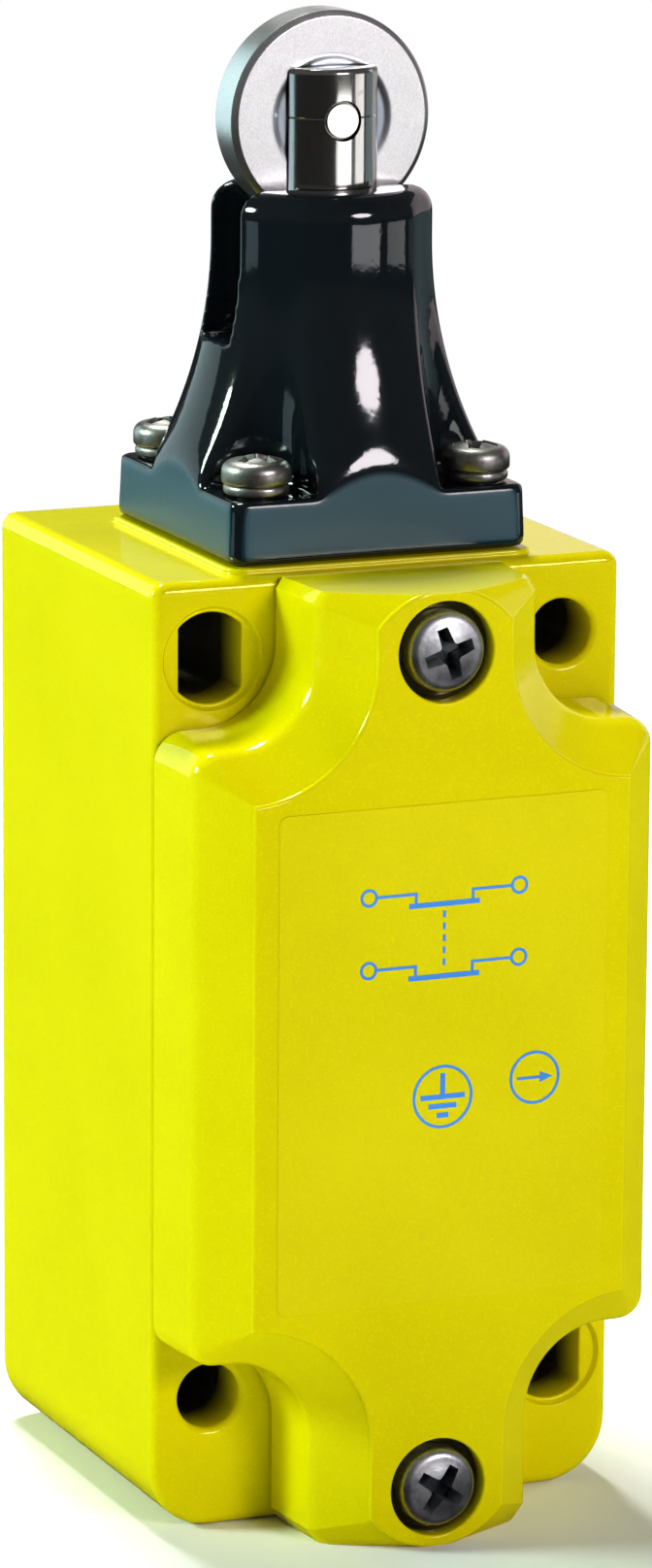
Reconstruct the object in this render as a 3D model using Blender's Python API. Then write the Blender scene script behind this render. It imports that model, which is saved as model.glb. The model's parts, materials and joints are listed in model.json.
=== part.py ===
"""Limit switch with a roller plunger, modelled piece by piece at its real size.

Metres, +Z up. The cover faces -Y, the plunger points up, and the origin lies at the
middle of the foot of the whole switch.
"""

import math

import bmesh
import bpy
from mathutils import Matrix, Vector

MM = 0.001

# Clearances
JOINT_GAP = 0.12 * MM  # faces that bolt together
FIT_GAP = 0.2 * MM  # a piece in its bore, seat or slot
REST_GAP = 0.3 * MM  # a moving piece before its stop
OVERCUT = 1 * MM  # how far a cutter stands out of what it cuts
MERGE = 0.0005 * MM

# Mounting holes: a 30 by 60 pattern, round on one diagonal and slotted on the other
HOLE_PITCH_X = 30 * MM
HOLE_PITCH_Z = 60 * MM
HOLE_DIA = 5.3 * MM
HOLE_MOUTH = 0.6 * MM
SLOT_HEIGHT = 7.3 * MM
RECESS_DIA = 8.2 * MM
RECESS_DEPTH = 0.5 * MM
HOLE_SIDE_MARGIN = 5 * MM
HOLE_BOTTOM_MARGIN = 10.8 * MM
HOLE_TOP_MARGIN = 6.2 * MM

# Die-cast housing
HOUSING_DEPTH = 34 * MM
HOUSING_BOTTOM_RADIUS = 5.3 * MM
HOUSING_TOP_RADIUS = 1.2 * MM
HOUSING_EDGE_RADIUS = 0.8 * MM
BACK_WALL = 3 * MM
COLUMN_WALL = 2.75 * MM
POCKET_RADIUS = 3 * MM
SEAL_RIM = 3.2 * MM
FOOT_RIM = 4.15 * MM
CONDUIT_DIA = 18.4 * MM
CONDUIT_SETBACK = 19 * MM
CONDUIT_LENGTH = 9 * MM
CONDUIT_CHAMFER = 0.8 * MM
WIRING_ROOM = 0.5 * MM
BOSS_RADIUS = 3.6 * MM
SEAT_HEIGHT = 0.5 * MM
SEAT_RIM = 0.4 * MM

# Cover: a plateau with bevelled flanks, cut away round the mounting holes
COVER_RISE = 11.2 * MM
COVER_DRAFT = 0.35 * MM
COVER_BEVEL = 4 * MM
COVER_EDGE_RADIUS = 2 * MM
PLATEAU_STEP = 0.35 * MM
PLATEAU_STEP_INSET = 0.1 * MM
UPPER_EAR_MARGIN = 5.4 * MM  # from a mounting hole's axis to the ear's edge
LOWER_EAR_MARGIN = 4.45 * MM
EAR_RADIUS = 2.5 * MM
TAB_WIDTH = 19.6 * MM
CUT_RADIUS = 6.5 * MM
TAB_END_RADIUS = 11.5 * MM
TAB_END_DROP = 2.25 * MM  # from the screw's axis to the centre of the tab's end arc
PLATEAU_END_RADIUS = 6.9 * MM
COVER_SCREW_TOP_MARGIN = 4.6 * MM
COVER_SCREW_BOTTOM_MARGIN = 4.85 * MM
COVER_SKIN = 3 * MM
COVER_POCKET_CHAMFER = 2.4 * MM
COUNTERBORE_DIA = 8 * MM
COUNTERBORE_DEPTH = 1.92 * MM
GASKET_WIDTH = 1.6 * MM
GASKET_SINK = 0.9 * MM

# Screws
SCREW_DIA = 3 * MM
SCREW_CLEARANCE = 0.2 * MM
COVER_SCREW_HEAD_DIA = 6.4 * MM
COVER_SCREW_HEAD_RISE = 2.6 * MM
COVER_SCREW_SHOULDER = 0.58  # upright share of the head's height
COVER_SCREW_GRIP = 6 * MM
TOP_SCREW_SPIN = math.radians(18)
BOTTOM_SCREW_SPIN = math.radians(56)
HEAD_SCREW_HEAD_DIA = 5.5 * MM
HEAD_SCREW_HEAD_RISE = 2.2 * MM
HEAD_SCREW_GRIP = 7 * MM
TERMINAL_SCREW_HEAD_DIA = 5 * MM
TERMINAL_SCREW_HEAD_RISE = 1.8 * MM
WASHER_THICKNESS = 0.9 * MM
WASHER_DIA = 5.2 * MM
PAN_SHOULDER = 0.4  # upright share of the other heads' height
CROSS_DEPTH = 0.55  # share of the head's height
CROSS_REACH = 0.62  # share of the head's radius
CROSS_WIDTH = 0.17  # share of the head's radius

# Head casting
HEAD_BASE = 25.4 * MM
HEAD_FRONT_MARGIN = 1.5 * MM
HEAD_BASE_RISE = 5 * MM
HEAD_CORNER_RADIUS = 1.2 * MM
HEAD_RISE = 28 * MM
HEAD_TOP_DIA = 17.6 * MM
HEAD_TOP_EDGE = 2 * MM
FLARE_START = 23.8 * MM
FLARE_RADIUS = 37.5 * MM
HEAD_SCREW_PITCH = 18.8 * MM
RELIEF_RADIUS = 4 * MM
ROLLER_SLOT_WIDTH = 5.8 * MM
ROLLER_SLOT_FLOOR = 15.9 * MM

# Plunger train
PLUNGER_DIA = 8.8 * MM
PLUNGER_TRAVEL = 6 * MM
PLUNGER_NOSE = 4.1 * MM  # above the roller's axis
PLUNGER_CHAMFER = 0.4 * MM
AXLE_HEIGHT = 33.4 * MM  # above the foot of the head
AXLE_DIA = 3 * MM
ROLLER_DIA = 17 * MM
ROLLER_WIDTH = 4 * MM
ROLLER_CHAMFER = 0.6 * MM
COLLAR_DIA = 12.8 * MM
COLLAR_RISE = 1.1 * MM
STEM_DIA = 6 * MM
BUSH_DIA = 11.8 * MM
BUSH_LENGTH = 4.8 * MM
SEAL_RISE = 1.3 * MM
SEAL_LIP = 1.3 * MM  # head metal left above the seal
CHAMBER_DIA = 14.4 * MM
CUP_WALL = 0.7 * MM
CUP_FLOOR = 1 * MM
CUP_DEPTH = 7 * MM
CUP_FLANGE_DIA = 17 * MM
CUP_FLANGE_RISE = 1 * MM
CUP_ROOM = 0.4 * MM
GASKET_RING_DIA = 20.8 * MM
GASKET_RING_WIDTH = 1.3 * MM
GASKET_RING_RISE = 0.8 * MM
STEM_REACH = 1.6 * MM  # below the spring cup
RETURN_WIRE = 1 * MM
RETURN_TURNS = 5

# Contact block
BLOCK_SIDE_ROOM = 2.6 * MM
BLOCK_END_ROOM = 0.6 * MM
BLOCK_FRONT = 5.8 * MM  # in front of the plunger's axis
BLOCK_BACK = 8.1 * MM
BLOCK_FOOT = 9 * MM  # below the lower contacts
TOWER_HALF = 5 * MM
TOWER_FLOOR = 1.2 * MM
CONTACT_DROP = 10.6 * MM  # from the block's top to the upper contacts
CONTACT_PITCH = 13 * MM
SLIDER_HALF = 3 * MM
SLIDER_FOOT = 6.2 * MM  # below the lower contacts
WINDOW_HALF = 1.9 * MM
BRIDGE_HALF = 8.2 * MM
BRIDGE_WIDTH = 3.2 * MM
BRIDGE_THICKNESS = 0.8 * MM
BRIDGE_POINT = 0.2 * MM
BRIDGE_POINT_WIDTH = 1.2 * MM
BRIDGE_ROOM = 0.6 * MM
BRIDGE_WIRE = 0.4 * MM
BRIDGE_COIL_RADIUS = 1.25 * MM
BRIDGE_SPRING = 4.5 * MM
BRIDGE_TURNS = 4
STRIP_INNER = 6.3 * MM
STRIP_THICKNESS = 1 * MM
STRIP_TAB = 6.9 * MM
STRIP_SIDE_ROOM = 0.4 * MM
TERMINAL_X = 10.8 * MM
TERMINAL_RISE = 4.9 * MM
CLAMP_SIDE = 5.2 * MM
CLAMP_THICKNESS = 1 * MM
TERMINAL_GRIP = 4.5 * MM
LID_THICKNESS = 1.2 * MM
BLOCK_SCREW_X = 11.6 * MM
BLOCK_SCREW_DROP = 2.2 * MM
BLOCK_SCREW_GRIP = 5 * MM
RESET_WIRE = 0.5 * MM
RESET_COIL_RADIUS = 2 * MM
RESET_TURNS = 6

# Earth terminal
EARTH_X = -11.2 * MM
EARTH_RISE = 4.6 * MM  # above the pocket's floor
EARTH_SETBACK = 18.4 * MM  # behind the seam

# Roundness
CORNER_STEPS = 4
CUT_STEPS = 7
END_STEPS = 4
ROUND_STEPS = 24
SMALL_ROUND_STEPS = 12
FLARE_STEPS = 5
DOME_STEPS = 2
COIL_STEPS = 10

# Places that follow from the sizes above
HOUSING_WIDTH = HOLE_PITCH_X + 2 * HOLE_SIDE_MARGIN
HOUSING_HEIGHT = HOLE_BOTTOM_MARGIN + HOLE_PITCH_Z + HOLE_TOP_MARGIN
LOWER_HOLE_Z = HOLE_BOTTOM_MARGIN
UPPER_HOLE_Z = HOLE_BOTTOM_MARGIN + HOLE_PITCH_Z
SCREW_PROUD = COVER_SCREW_HEAD_RISE + JOINT_GAP - COUNTERBORE_DEPTH
BACK_Y = (HOUSING_DEPTH + COVER_RISE + SCREW_PROUD) / 2
SEAM_Y = BACK_Y - HOUSING_DEPTH
FACE_Y = SEAM_Y - COVER_RISE
FLOOR_Y = BACK_Y - BACK_WALL
EAR_Z = {1: UPPER_HOLE_Z - UPPER_EAR_MARGIN, -1: LOWER_HOLE_Z + LOWER_EAR_MARGIN}
END_Z = {1: HOUSING_HEIGHT, -1: 0.0}
COVER_SCREW_Z = {1: HOUSING_HEIGHT - COVER_SCREW_TOP_MARGIN, -1: COVER_SCREW_BOTTOM_MARGIN}
POCKET_HALF = HOUSING_WIDTH / 2 - SEAL_RIM
POCKET_BOTTOM = EAR_Z[-1] + FOOT_RIM
POCKET_TOP = EAR_Z[1] - SEAL_RIM
CONDUIT_Y = SEAM_Y + CONDUIT_SETBACK
AXIS_Y = SEAM_Y + HEAD_FRONT_MARGIN + HEAD_BASE / 2
SEAT_Z = HOUSING_HEIGHT + SEAT_HEIGHT
HEAD_Z = SEAT_Z + JOINT_GAP
SCREW_HOLE_RADIUS = SCREW_DIA / 2 + SCREW_CLEARANCE
SCREW_SEAT_Y = FACE_Y + COUNTERBORE_DEPTH
PLUNGER_BORE_RADIUS = PLUNGER_DIA / 2 + FIT_GAP
BUSH_BORE_RADIUS = BUSH_DIA / 2 + FIT_GAP
SEAL_TOP = ROLLER_SLOT_FLOOR - SEAL_LIP
BUSH_TOP = SEAL_TOP - 2 * JOINT_GAP - SEAL_RISE
BUSH_FOOT = BUSH_TOP - BUSH_LENGTH
COLLAR_TOP = BUSH_FOOT - REST_GAP
COLLAR_FOOT = COLLAR_TOP - COLLAR_RISE
CUP_TOP = -JOINT_GAP
CUP_FOOT = CUP_TOP - CUP_DEPTH
CUP_RADIUS = CHAMBER_DIA / 2 - CUP_ROOM
STEM_FOOT = CUP_FOOT - STEM_REACH
SLIDER_TOP = HEAD_Z + STEM_FOOT - REST_GAP
BLOCK_HALF = POCKET_HALF - BLOCK_SIDE_ROOM
BLOCK_TOP = POCKET_TOP - BLOCK_END_ROOM
BLOCK_FRONT_Y = AXIS_Y - BLOCK_FRONT
BLOCK_BACK_Y = AXIS_Y + BLOCK_BACK
TOWER_BOTTOM = POCKET_BOTTOM + BLOCK_END_ROOM
TOWER_TOP = TOWER_BOTTOM + TOWER_FLOOR
CONTACT_Z = {"upper": BLOCK_TOP - CONTACT_DROP}
CONTACT_Z["lower"] = CONTACT_Z["upper"] - CONTACT_PITCH
BLOCK_BOTTOM = CONTACT_Z["lower"] - BLOCK_FOOT
SLIDER_BOTTOM = CONTACT_Z["lower"] - SLIDER_FOOT
CHANNEL_HALF = SLIDER_HALF + FIT_GAP
BRIDGE_TOP = BRIDGE_THICKNESS / 2 + BRIDGE_POINT
STRIP_FOOT = BRIDGE_TOP + JOINT_GAP
STRIP_TOP = STRIP_FOOT + STRIP_THICKNESS
STRIP_OUTER = BLOCK_HALF - STRIP_SIDE_ROOM
BLOCK_SCREW_Z = CONTACT_Z["upper"] - BLOCK_SCREW_DROP
EARTH_Y = SEAM_Y + EARTH_SETBACK
EARTH_Z = POCKET_BOTTOM + EARTH_RISE
SIDES = {"left": -1, "right": 1}
DEPTHS = {"front": -1, "back": 1}
FACING_FRONT = Matrix.Rotation(math.pi / 2, 4, "X")  # turns +Z to -Y


def clear_scene():
    for old in list(bpy.data.objects):
        bpy.data.objects.remove(old, do_unlink=True)


def make_material(name, colour, roughness, metallic):
    material = bpy.data.materials.new(name)
    material.use_nodes = True
    material.diffuse_color = (*colour, 1)
    shader = material.node_tree.nodes["Principled BSDF"]
    shader.inputs["Base Color"].default_value = (*colour, 1)
    shader.inputs["Roughness"].default_value = roughness
    shader.inputs["Metallic"].default_value = metallic
    return material


def make_materials():
    return {
        "yellow_paint": make_material("yellow_paint", (0.70, 0.55, 0.0), 0.3, 0.0),
        "black_paint": make_material("black_paint", (0.008, 0.009, 0.012), 0.15, 0.0),
        "steel": make_material("steel", (0.62, 0.60, 0.56), 0.3, 1.0),
        "zinc": make_material("zinc", (0.66, 0.67, 0.68), 0.25, 1.0),
        "spring_steel": make_material("spring_steel", (0.45, 0.45, 0.46), 0.3, 1.0),
        "brass": make_material("brass", (0.75, 0.56, 0.22), 0.3, 1.0),
        "contact_metal": make_material("contact_metal", (0.80, 0.72, 0.60), 0.3, 1.0),
        "rubber": make_material("rubber", (0.02, 0.02, 0.02), 0.8, 0.0),
        "plastic": make_material("plastic", (0.05, 0.05, 0.055), 0.5, 0.0),
        "white_plastic": make_material("white_plastic", (0.75, 0.75, 0.72), 0.5, 0.0),
    }


def make_empty(name, location, parent=None):
    empty = bpy.data.objects.new(name, None)
    empty.location = location
    empty.parent = parent
    bpy.context.scene.collection.objects.link(empty)
    return empty


def place(obj, parent, location, turn):
    obj.parent = parent
    obj.location = location
    obj.rotation_euler = turn.to_euler()
    bpy.context.scene.collection.objects.link(obj)
    return obj


def add_mesh(name, mesh, material, parent=None, location=(0, 0, 0), turn=Matrix()):
    if not mesh.materials:
        mesh.materials.append(material)
    mesh.shade_smooth()
    mesh.set_sharp_from_angle(angle=math.radians(35))
    return place(bpy.data.objects.new(name, mesh), parent, location, turn)


def add_piece(name, shape, material, parent=None, location=(0, 0, 0), turn=Matrix()):
    """A named object from a bmesh, which is freed."""
    mesh = bpy.data.meshes.new(name)
    shape.to_mesh(mesh)
    shape.free()
    return add_mesh(name, mesh, material, parent, location, turn)


def combine(target, operation, shape, location=(0, 0, 0), turn=Matrix()):
    """A Boolean of a hidden helper with the target, both in the target's own frame."""
    name = f"{target.name}_tool_{len(target.modifiers)}"
    mesh = bpy.data.meshes.new(name)
    shape.to_mesh(mesh)
    shape.free()
    helper = place(bpy.data.objects.new(name, mesh), target, location, turn)
    helper.hide_render = True
    helper.display_type = "WIRE"
    modifier = target.modifiers.new(name, "BOOLEAN")
    modifier.operation = operation
    modifier.solver = "EXACT"
    modifier.object = helper
    return helper


def cut(target, shape, location=(0, 0, 0), turn=Matrix()):
    return combine(target, "DIFFERENCE", shape, location, turn)


def join(target, shape, location=(0, 0, 0), turn=Matrix()):
    return combine(target, "UNION", shape, location, turn)


def spread(first, last, steps):
    return [first + (last - first) * k / steps for k in range(steps + 1)]


def loft(loops, ring=False):
    """A closed solid through loops of equally many points, or a ring of them."""
    shape = bmesh.new()
    rows = [[shape.verts.new(point) for point in loop] for loop in loops]
    pairs = list(zip(rows, rows[1:]))
    if ring:
        pairs.append((rows[-1], rows[0]))
    else:
        shape.faces.new(rows[0])
        shape.faces.new(rows[-1])
    for low, high in pairs:
        for k, corner in enumerate(low):
            shape.faces.new((low[k - 1], corner, high[k], high[k - 1]))
    bmesh.ops.remove_doubles(shape, verts=shape.verts[:], dist=MERGE)
    bmesh.ops.recalc_face_normals(shape, faces=shape.faces[:])
    return shape


def turned(profile, steps, ring=False):
    """A solid turned about Z from a profile of (radius, height)."""
    angles = [2 * math.pi * k / steps for k in range(steps)]
    return loft(
        [[(r * math.cos(a), r * math.sin(a), z) for a in angles] for r, z in profile],
        ring,
    )


def rod(radius, low, high, steps=SMALL_ROUND_STEPS):
    return turned([(0, low), (radius, low), (radius, high), (0, high)], steps)


def stepped_rod(lower, upper, top):
    """A rod of two widths, each given as its radius and the height where it starts."""
    profile = [(0, lower[1]), lower, (lower[0], upper[1]), upper, (upper[0], top), (0, top)]
    return turned(profile, ROUND_STEPS)


def tube(inner, outer, low, high, steps=ROUND_STEPS):
    profile = [(inner, low), (outer, low), (outer, high), (inner, high)]
    return turned(profile, steps, ring=True)


def along_x(outline, start, end):
    return loft([[(x, y, z) for y, z in outline] for x in (start, end)])


def along_y(outline, start, end):
    return loft([[(x, y, z) for x, z in outline] for y in (start, end)])


def block(x0, x1, y0, y1, z0, z1):
    return along_y([(x0, z0), (x1, z0), (x1, z1), (x0, z1)], y0, y1)


def corner_arc(cx, cz, radius, first):
    angles = spread(math.radians(first), math.radians(first + 90), CORNER_STEPS)
    return [(cx + radius * math.cos(a), cz + radius * math.sin(a)) for a in angles]


def round_rectangle(half, bottom, top, bottom_radius, top_radius):
    """An outline symmetric about the second axis, with its own radii below and above."""
    low, high = bottom + bottom_radius, top - top_radius
    return (
        corner_arc(half - bottom_radius, low, bottom_radius, 270)
        + corner_arc(half - top_radius, high, top_radius, 0)
        + corner_arc(top_radius - half, high, top_radius, 90)
        + corner_arc(bottom_radius - half, low, bottom_radius, 180)
    )


def round_square(half, radius, z):
    return [(x, y, z) for x, y in round_rectangle(half, -half, half, radius, radius)]


def pocket_outline(grow):
    """The rim of the hollow behind the cover, moved outwards by grow."""
    radius = POCKET_RADIUS + grow
    return round_rectangle(
        POCKET_HALF + grow, POCKET_BOTTOM - grow, POCKET_TOP + grow, radius, radius
    )


def cover_quarter(inset, side):
    """The right half of the cover's edge above (1) or below (-1), from ear to tab end."""
    half = HOUSING_WIDTH / 2 - inset
    tab = TAB_WIDTH / 2 - inset
    cut_x = TAB_WIDTH / 2 + CUT_RADIUS
    cut_z = EAR_Z[side] + side * CUT_RADIUS
    cut_radius = CUT_RADIUS + inset
    first = math.asin(max(cut_x - half, 0) / cut_radius)
    radius = max(EAR_RADIUS - inset, 0)
    ear_z = cut_z - side * cut_radius * math.cos(first)
    points = []
    for angle in spread(0, math.pi / 2, CORNER_STEPS):
        x = half - radius * (1 - math.cos(angle))
        points.append((x, ear_z - side * radius * (1 - math.sin(angle))))
    for angle in spread(first, math.pi / 2, CUT_STEPS):
        x = cut_x - cut_radius * math.sin(angle)
        points.append((x, cut_z - side * cut_radius * math.cos(angle)))
    full_inset = COVER_BEVEL + PLATEAU_STEP_INSET
    share = inset / full_inset
    end_radius = TAB_END_RADIUS + (PLATEAU_END_RADIUS - TAB_END_RADIUS) * share
    centre = COVER_SCREW_Z[side] - side * TAB_END_DROP
    last = math.acos(min(abs(END_Z[side] - centre) / end_radius, 1))
    start = max(math.asin(min(tab / end_radius, 1)), last)
    for angle in spread(start, last, END_STEPS):
        x = min(end_radius * math.sin(angle), tab)
        points.append((x, centre + side * end_radius * math.cos(angle)))
    return points


def cover_outline(inset):
    """The cover's edge, moved inwards by inset, anticlockwise as seen from the front."""
    above = cover_quarter(inset, 1)
    below = cover_quarter(inset, -1)
    return (
        above
        + [(-x, z) for x, z in reversed(above)]
        + [(-x, z) for x, z in below]
        + list(reversed(below))
    )


def cover_levels():
    """(rise above the seam, inset) up the cover's flank: wall, rounded edge, bevel, step."""
    bevel_top = COVER_RISE - PLATEAU_STEP
    bevel_foot = bevel_top - (COVER_BEVEL - COVER_DRAFT)
    turn = COVER_EDGE_RADIUS * math.tan(math.pi / 8)
    levels = [(JOINT_GAP, 0), (bevel_foot - turn, COVER_DRAFT)]
    for angle in spread(0, math.pi / 4, 2)[1:]:
        rise = COVER_EDGE_RADIUS * math.sin(angle)
        inset = COVER_EDGE_RADIUS * (1 - math.cos(angle))
        levels.append((bevel_foot - turn + rise, COVER_DRAFT + inset))
    levels.append((bevel_top, COVER_BEVEL))
    levels.append((COVER_RISE, COVER_BEVEL + PLATEAU_STEP_INSET))
    return levels


def plus_loop(reach, width, z):
    """The outline of a cross recess at one height."""
    points = []
    for quarter in range(4):
        turn = Matrix.Rotation(quarter * math.pi / 2, 3, "Z")
        for x, y in ((reach, -width), (reach, width), (width, width)):
            points.append(turn @ Vector((x, y, z)))
    return points


def screw_mesh(head_dia, head_rise, length, material, upright=PAN_SHOULDER):
    """A pan-head screw with a cross recess, the seat of its head at Z = 0."""
    head, shank = head_dia / 2, SCREW_DIA / 2
    chamfer = shank / 3
    shoulder = head_rise * upright
    profile = [(0, -length), (shank - chamfer, -length), (shank, chamfer - length)]
    profile += [(shank, 0), (head - chamfer / 2, 0)]
    for angle in spread(0, math.pi / 2, DOME_STEPS):
        rise = (head_rise - shoulder) * math.sin(angle)
        profile.append((head * math.cos(angle), shoulder + rise))
    blank = bpy.data.meshes.new("screw")
    turned(profile, SMALL_ROUND_STEPS).to_mesh(blank)
    screw = add_mesh("screw_blank", blank, material)
    reach, width = head * CROSS_REACH, head * CROSS_WIDTH
    depth = head_rise * CROSS_DEPTH
    flare = reach / 2 / depth
    floor = plus_loop(reach / 2, width, head_rise - depth)
    mouth = plus_loop(reach + flare * OVERCUT, width, head_rise + OVERCUT)
    cross = loft([floor, mouth])
    helper = cut(screw, cross)
    graph = bpy.context.evaluated_depsgraph_get()
    mesh = bpy.data.meshes.new_from_object(screw.evaluated_get(graph))
    bpy.data.objects.remove(helper)
    bpy.data.objects.remove(screw)
    return mesh


def coil(name, radius, wire, low, high, turns, material, parent):
    """A compression spring about its parent's Z axis."""
    curve = bpy.data.curves.new(name, "CURVE")
    curve.dimensions = "3D"
    curve.bevel_depth = wire / 2
    curve.bevel_resolution = 0
    curve.use_fill_caps = True
    curve.materials.append(material)
    spline = curve.splines.new("POLY")
    steps = turns * COIL_STEPS
    spline.points.add(steps)
    heights = spread(low + wire / 2, high - wire / 2, steps)
    for k, point in enumerate(spline.points):
        angle = 2 * math.pi * k / COIL_STEPS
        point.co = (radius * math.cos(angle), radius * math.sin(angle), heights[k], 1)
    return place(bpy.data.objects.new(name, curve), parent, (0, 0, 0), Matrix())


def slot_tool():
    """A mounting slot, a circle with its sides cut flat, below a shallow round recess."""
    loops = []
    for radius, flat, z in (
        (SLOT_HEIGHT / 2, HOLE_DIA / 2, -HOUSING_DEPTH - OVERCUT),
        (SLOT_HEIGHT / 2, HOLE_DIA / 2, -RECESS_DEPTH),
        (RECESS_DIA / 2, RECESS_DIA / 2, -RECESS_DEPTH),
        (RECESS_DIA / 2, RECESS_DIA / 2, OVERCUT),
    ):
        loop = []
        for k in range(ROUND_STEPS):
            angle = 2 * math.pi * (k + 0.5) / ROUND_STEPS
            reach = min(radius, flat / abs(math.cos(angle)))
            loop.append((reach * math.cos(angle), reach * math.sin(angle), z))
        loops.append(loop)
    return loft(loops)


def cut_mounting_holes(housing):
    """Round holes upper right and lower left, slots on the other diagonal."""
    far = HOUSING_DEPTH + OVERCUT
    radius, mouth = HOLE_DIA / 2, HOLE_DIA / 2 + HOLE_MOUTH
    for side in (-1, 1):
        slot_z = UPPER_HOLE_Z if side < 0 else LOWER_HOLE_Z
        round_z = LOWER_HOLE_Z if side < 0 else UPPER_HOLE_Z
        x = side * HOLE_PITCH_X / 2
        cut(housing, slot_tool(), (x, SEAM_Y, slot_z), FACING_FRONT)
        profile = [(0, -far), (radius, -far), (radius, -HOLE_MOUTH)]
        profile += [(mouth, 0), (mouth, OVERCUT), (0, OVERCUT)]
        cut(housing, turned(profile, ROUND_STEPS), (x, SEAM_Y, round_z), FACING_FRONT)


def housing_body():
    """The casting's outer form, with rounded edges front and back."""
    loops = []
    for y, outward in ((SEAM_Y, 1), (BACK_Y, -1)):
        angles = spread(0, math.pi / 2, 2)
        for angle in angles if outward > 0 else reversed(angles):
            inset = HOUSING_EDGE_RADIUS * (1 - math.sin(angle))
            setback = HOUSING_EDGE_RADIUS * (1 - math.cos(angle))
            outline = round_rectangle(
                HOUSING_WIDTH / 2 - inset,
                inset,
                HOUSING_HEIGHT - inset,
                HOUSING_BOTTOM_RADIUS - inset,
                HOUSING_TOP_RADIUS - inset,
            )
            loops.append([(x, y + outward * setback, z) for x, z in outline])
    return loft(loops)


def make_housing(material, root):
    housing = add_piece("housing", housing_body(), material, root)
    seat_half = HEAD_BASE / 2 + SEAT_RIM
    seat_foot = HOUSING_HEIGHT - COLUMN_WALL
    corner = HEAD_CORNER_RADIUS + SEAT_RIM
    levels = (seat_foot, SEAT_Z)
    join(housing, loft([round_square(seat_half, corner, z) for z in levels]), (0, AXIS_Y, 0))

    front = SEAM_Y - OVERCUT
    cut(housing, along_y(pocket_outline(GASKET_WIDTH), front, SEAM_Y + GASKET_SINK))
    cut(housing, along_y(pocket_outline(0), front, FLOOR_Y))
    for x, z, top in (
        (-BLOCK_SCREW_X, BLOCK_SCREW_Z, BLOCK_BACK_Y + FIT_GAP),
        (BLOCK_SCREW_X, BLOCK_SCREW_Z, BLOCK_BACK_Y + FIT_GAP),
        (EARTH_X, EARTH_Z, EARTH_Y),
    ):
        boss = rod(BOSS_RADIUS, -(FLOOR_Y - top) - OVERCUT, 0)
        join(housing, boss, (x, top, z), FACING_FRONT)
        hole = rod(SCREW_HOLE_RADIUS, -BLOCK_SCREW_GRIP - OVERCUT, OVERCUT)
        cut(housing, hole, (x, top, z), FACING_FRONT)

    column = HOLE_PITCH_X / 2 - HOLE_DIA / 2 - COLUMN_WALL
    wiring_y = (CONDUIT_Y - CONDUIT_DIA / 2 - WIRING_ROOM, BACK_Y - COLUMN_WALL)
    wiring_z = (CONDUIT_LENGTH, POCKET_BOTTOM + OVERCUT)
    cut(housing, block(-column, column, *wiring_y, *wiring_z))
    radius, chamfer = CONDUIT_DIA / 2, CONDUIT_CHAMFER
    profile = [(0, -OVERCUT), (radius + chamfer, -OVERCUT), (radius + chamfer, 0)]
    profile += [(radius, chamfer), (radius, CONDUIT_LENGTH + OVERCUT)]
    profile += [(0, CONDUIT_LENGTH + OVERCUT)]
    cut(housing, turned(profile, ROUND_STEPS), (0, CONDUIT_Y, 0))

    flange_floor = HEAD_Z + CUP_TOP - CUP_FLANGE_RISE - JOINT_GAP
    passage = stepped_rod(
        (CHAMBER_DIA / 2, POCKET_TOP - OVERCUT),
        (CUP_FLANGE_DIA / 2 + FIT_GAP, flange_floor),
        SEAT_Z + OVERCUT,
    )
    cut(housing, passage, (0, AXIS_Y, 0))
    ring_inner = GASKET_RING_DIA / 2 - GASKET_RING_WIDTH / 2 - FIT_GAP
    ring_outer = GASKET_RING_DIA / 2 + GASKET_RING_WIDTH / 2 + FIT_GAP
    ring_floor = SEAT_Z - GASKET_RING_RISE
    groove = tube(ring_inner, ring_outer, ring_floor, SEAT_Z + OVERCUT)
    cut(housing, groove, (0, AXIS_Y, 0))

    for x, y in head_screw_places():
        hole = rod(SCREW_HOLE_RADIUS, SEAT_Z - HEAD_SCREW_GRIP - OVERCUT, SEAT_Z + OVERCUT)
        cut(housing, hole, (x, y, 0))
    for side in (1, -1):
        hole = rod(SCREW_HOLE_RADIUS, -COVER_SCREW_GRIP - FIT_GAP, OVERCUT)
        cut(housing, hole, (0, SEAM_Y, COVER_SCREW_Z[side]), FACING_FRONT)
    cut_mounting_holes(housing)


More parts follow.
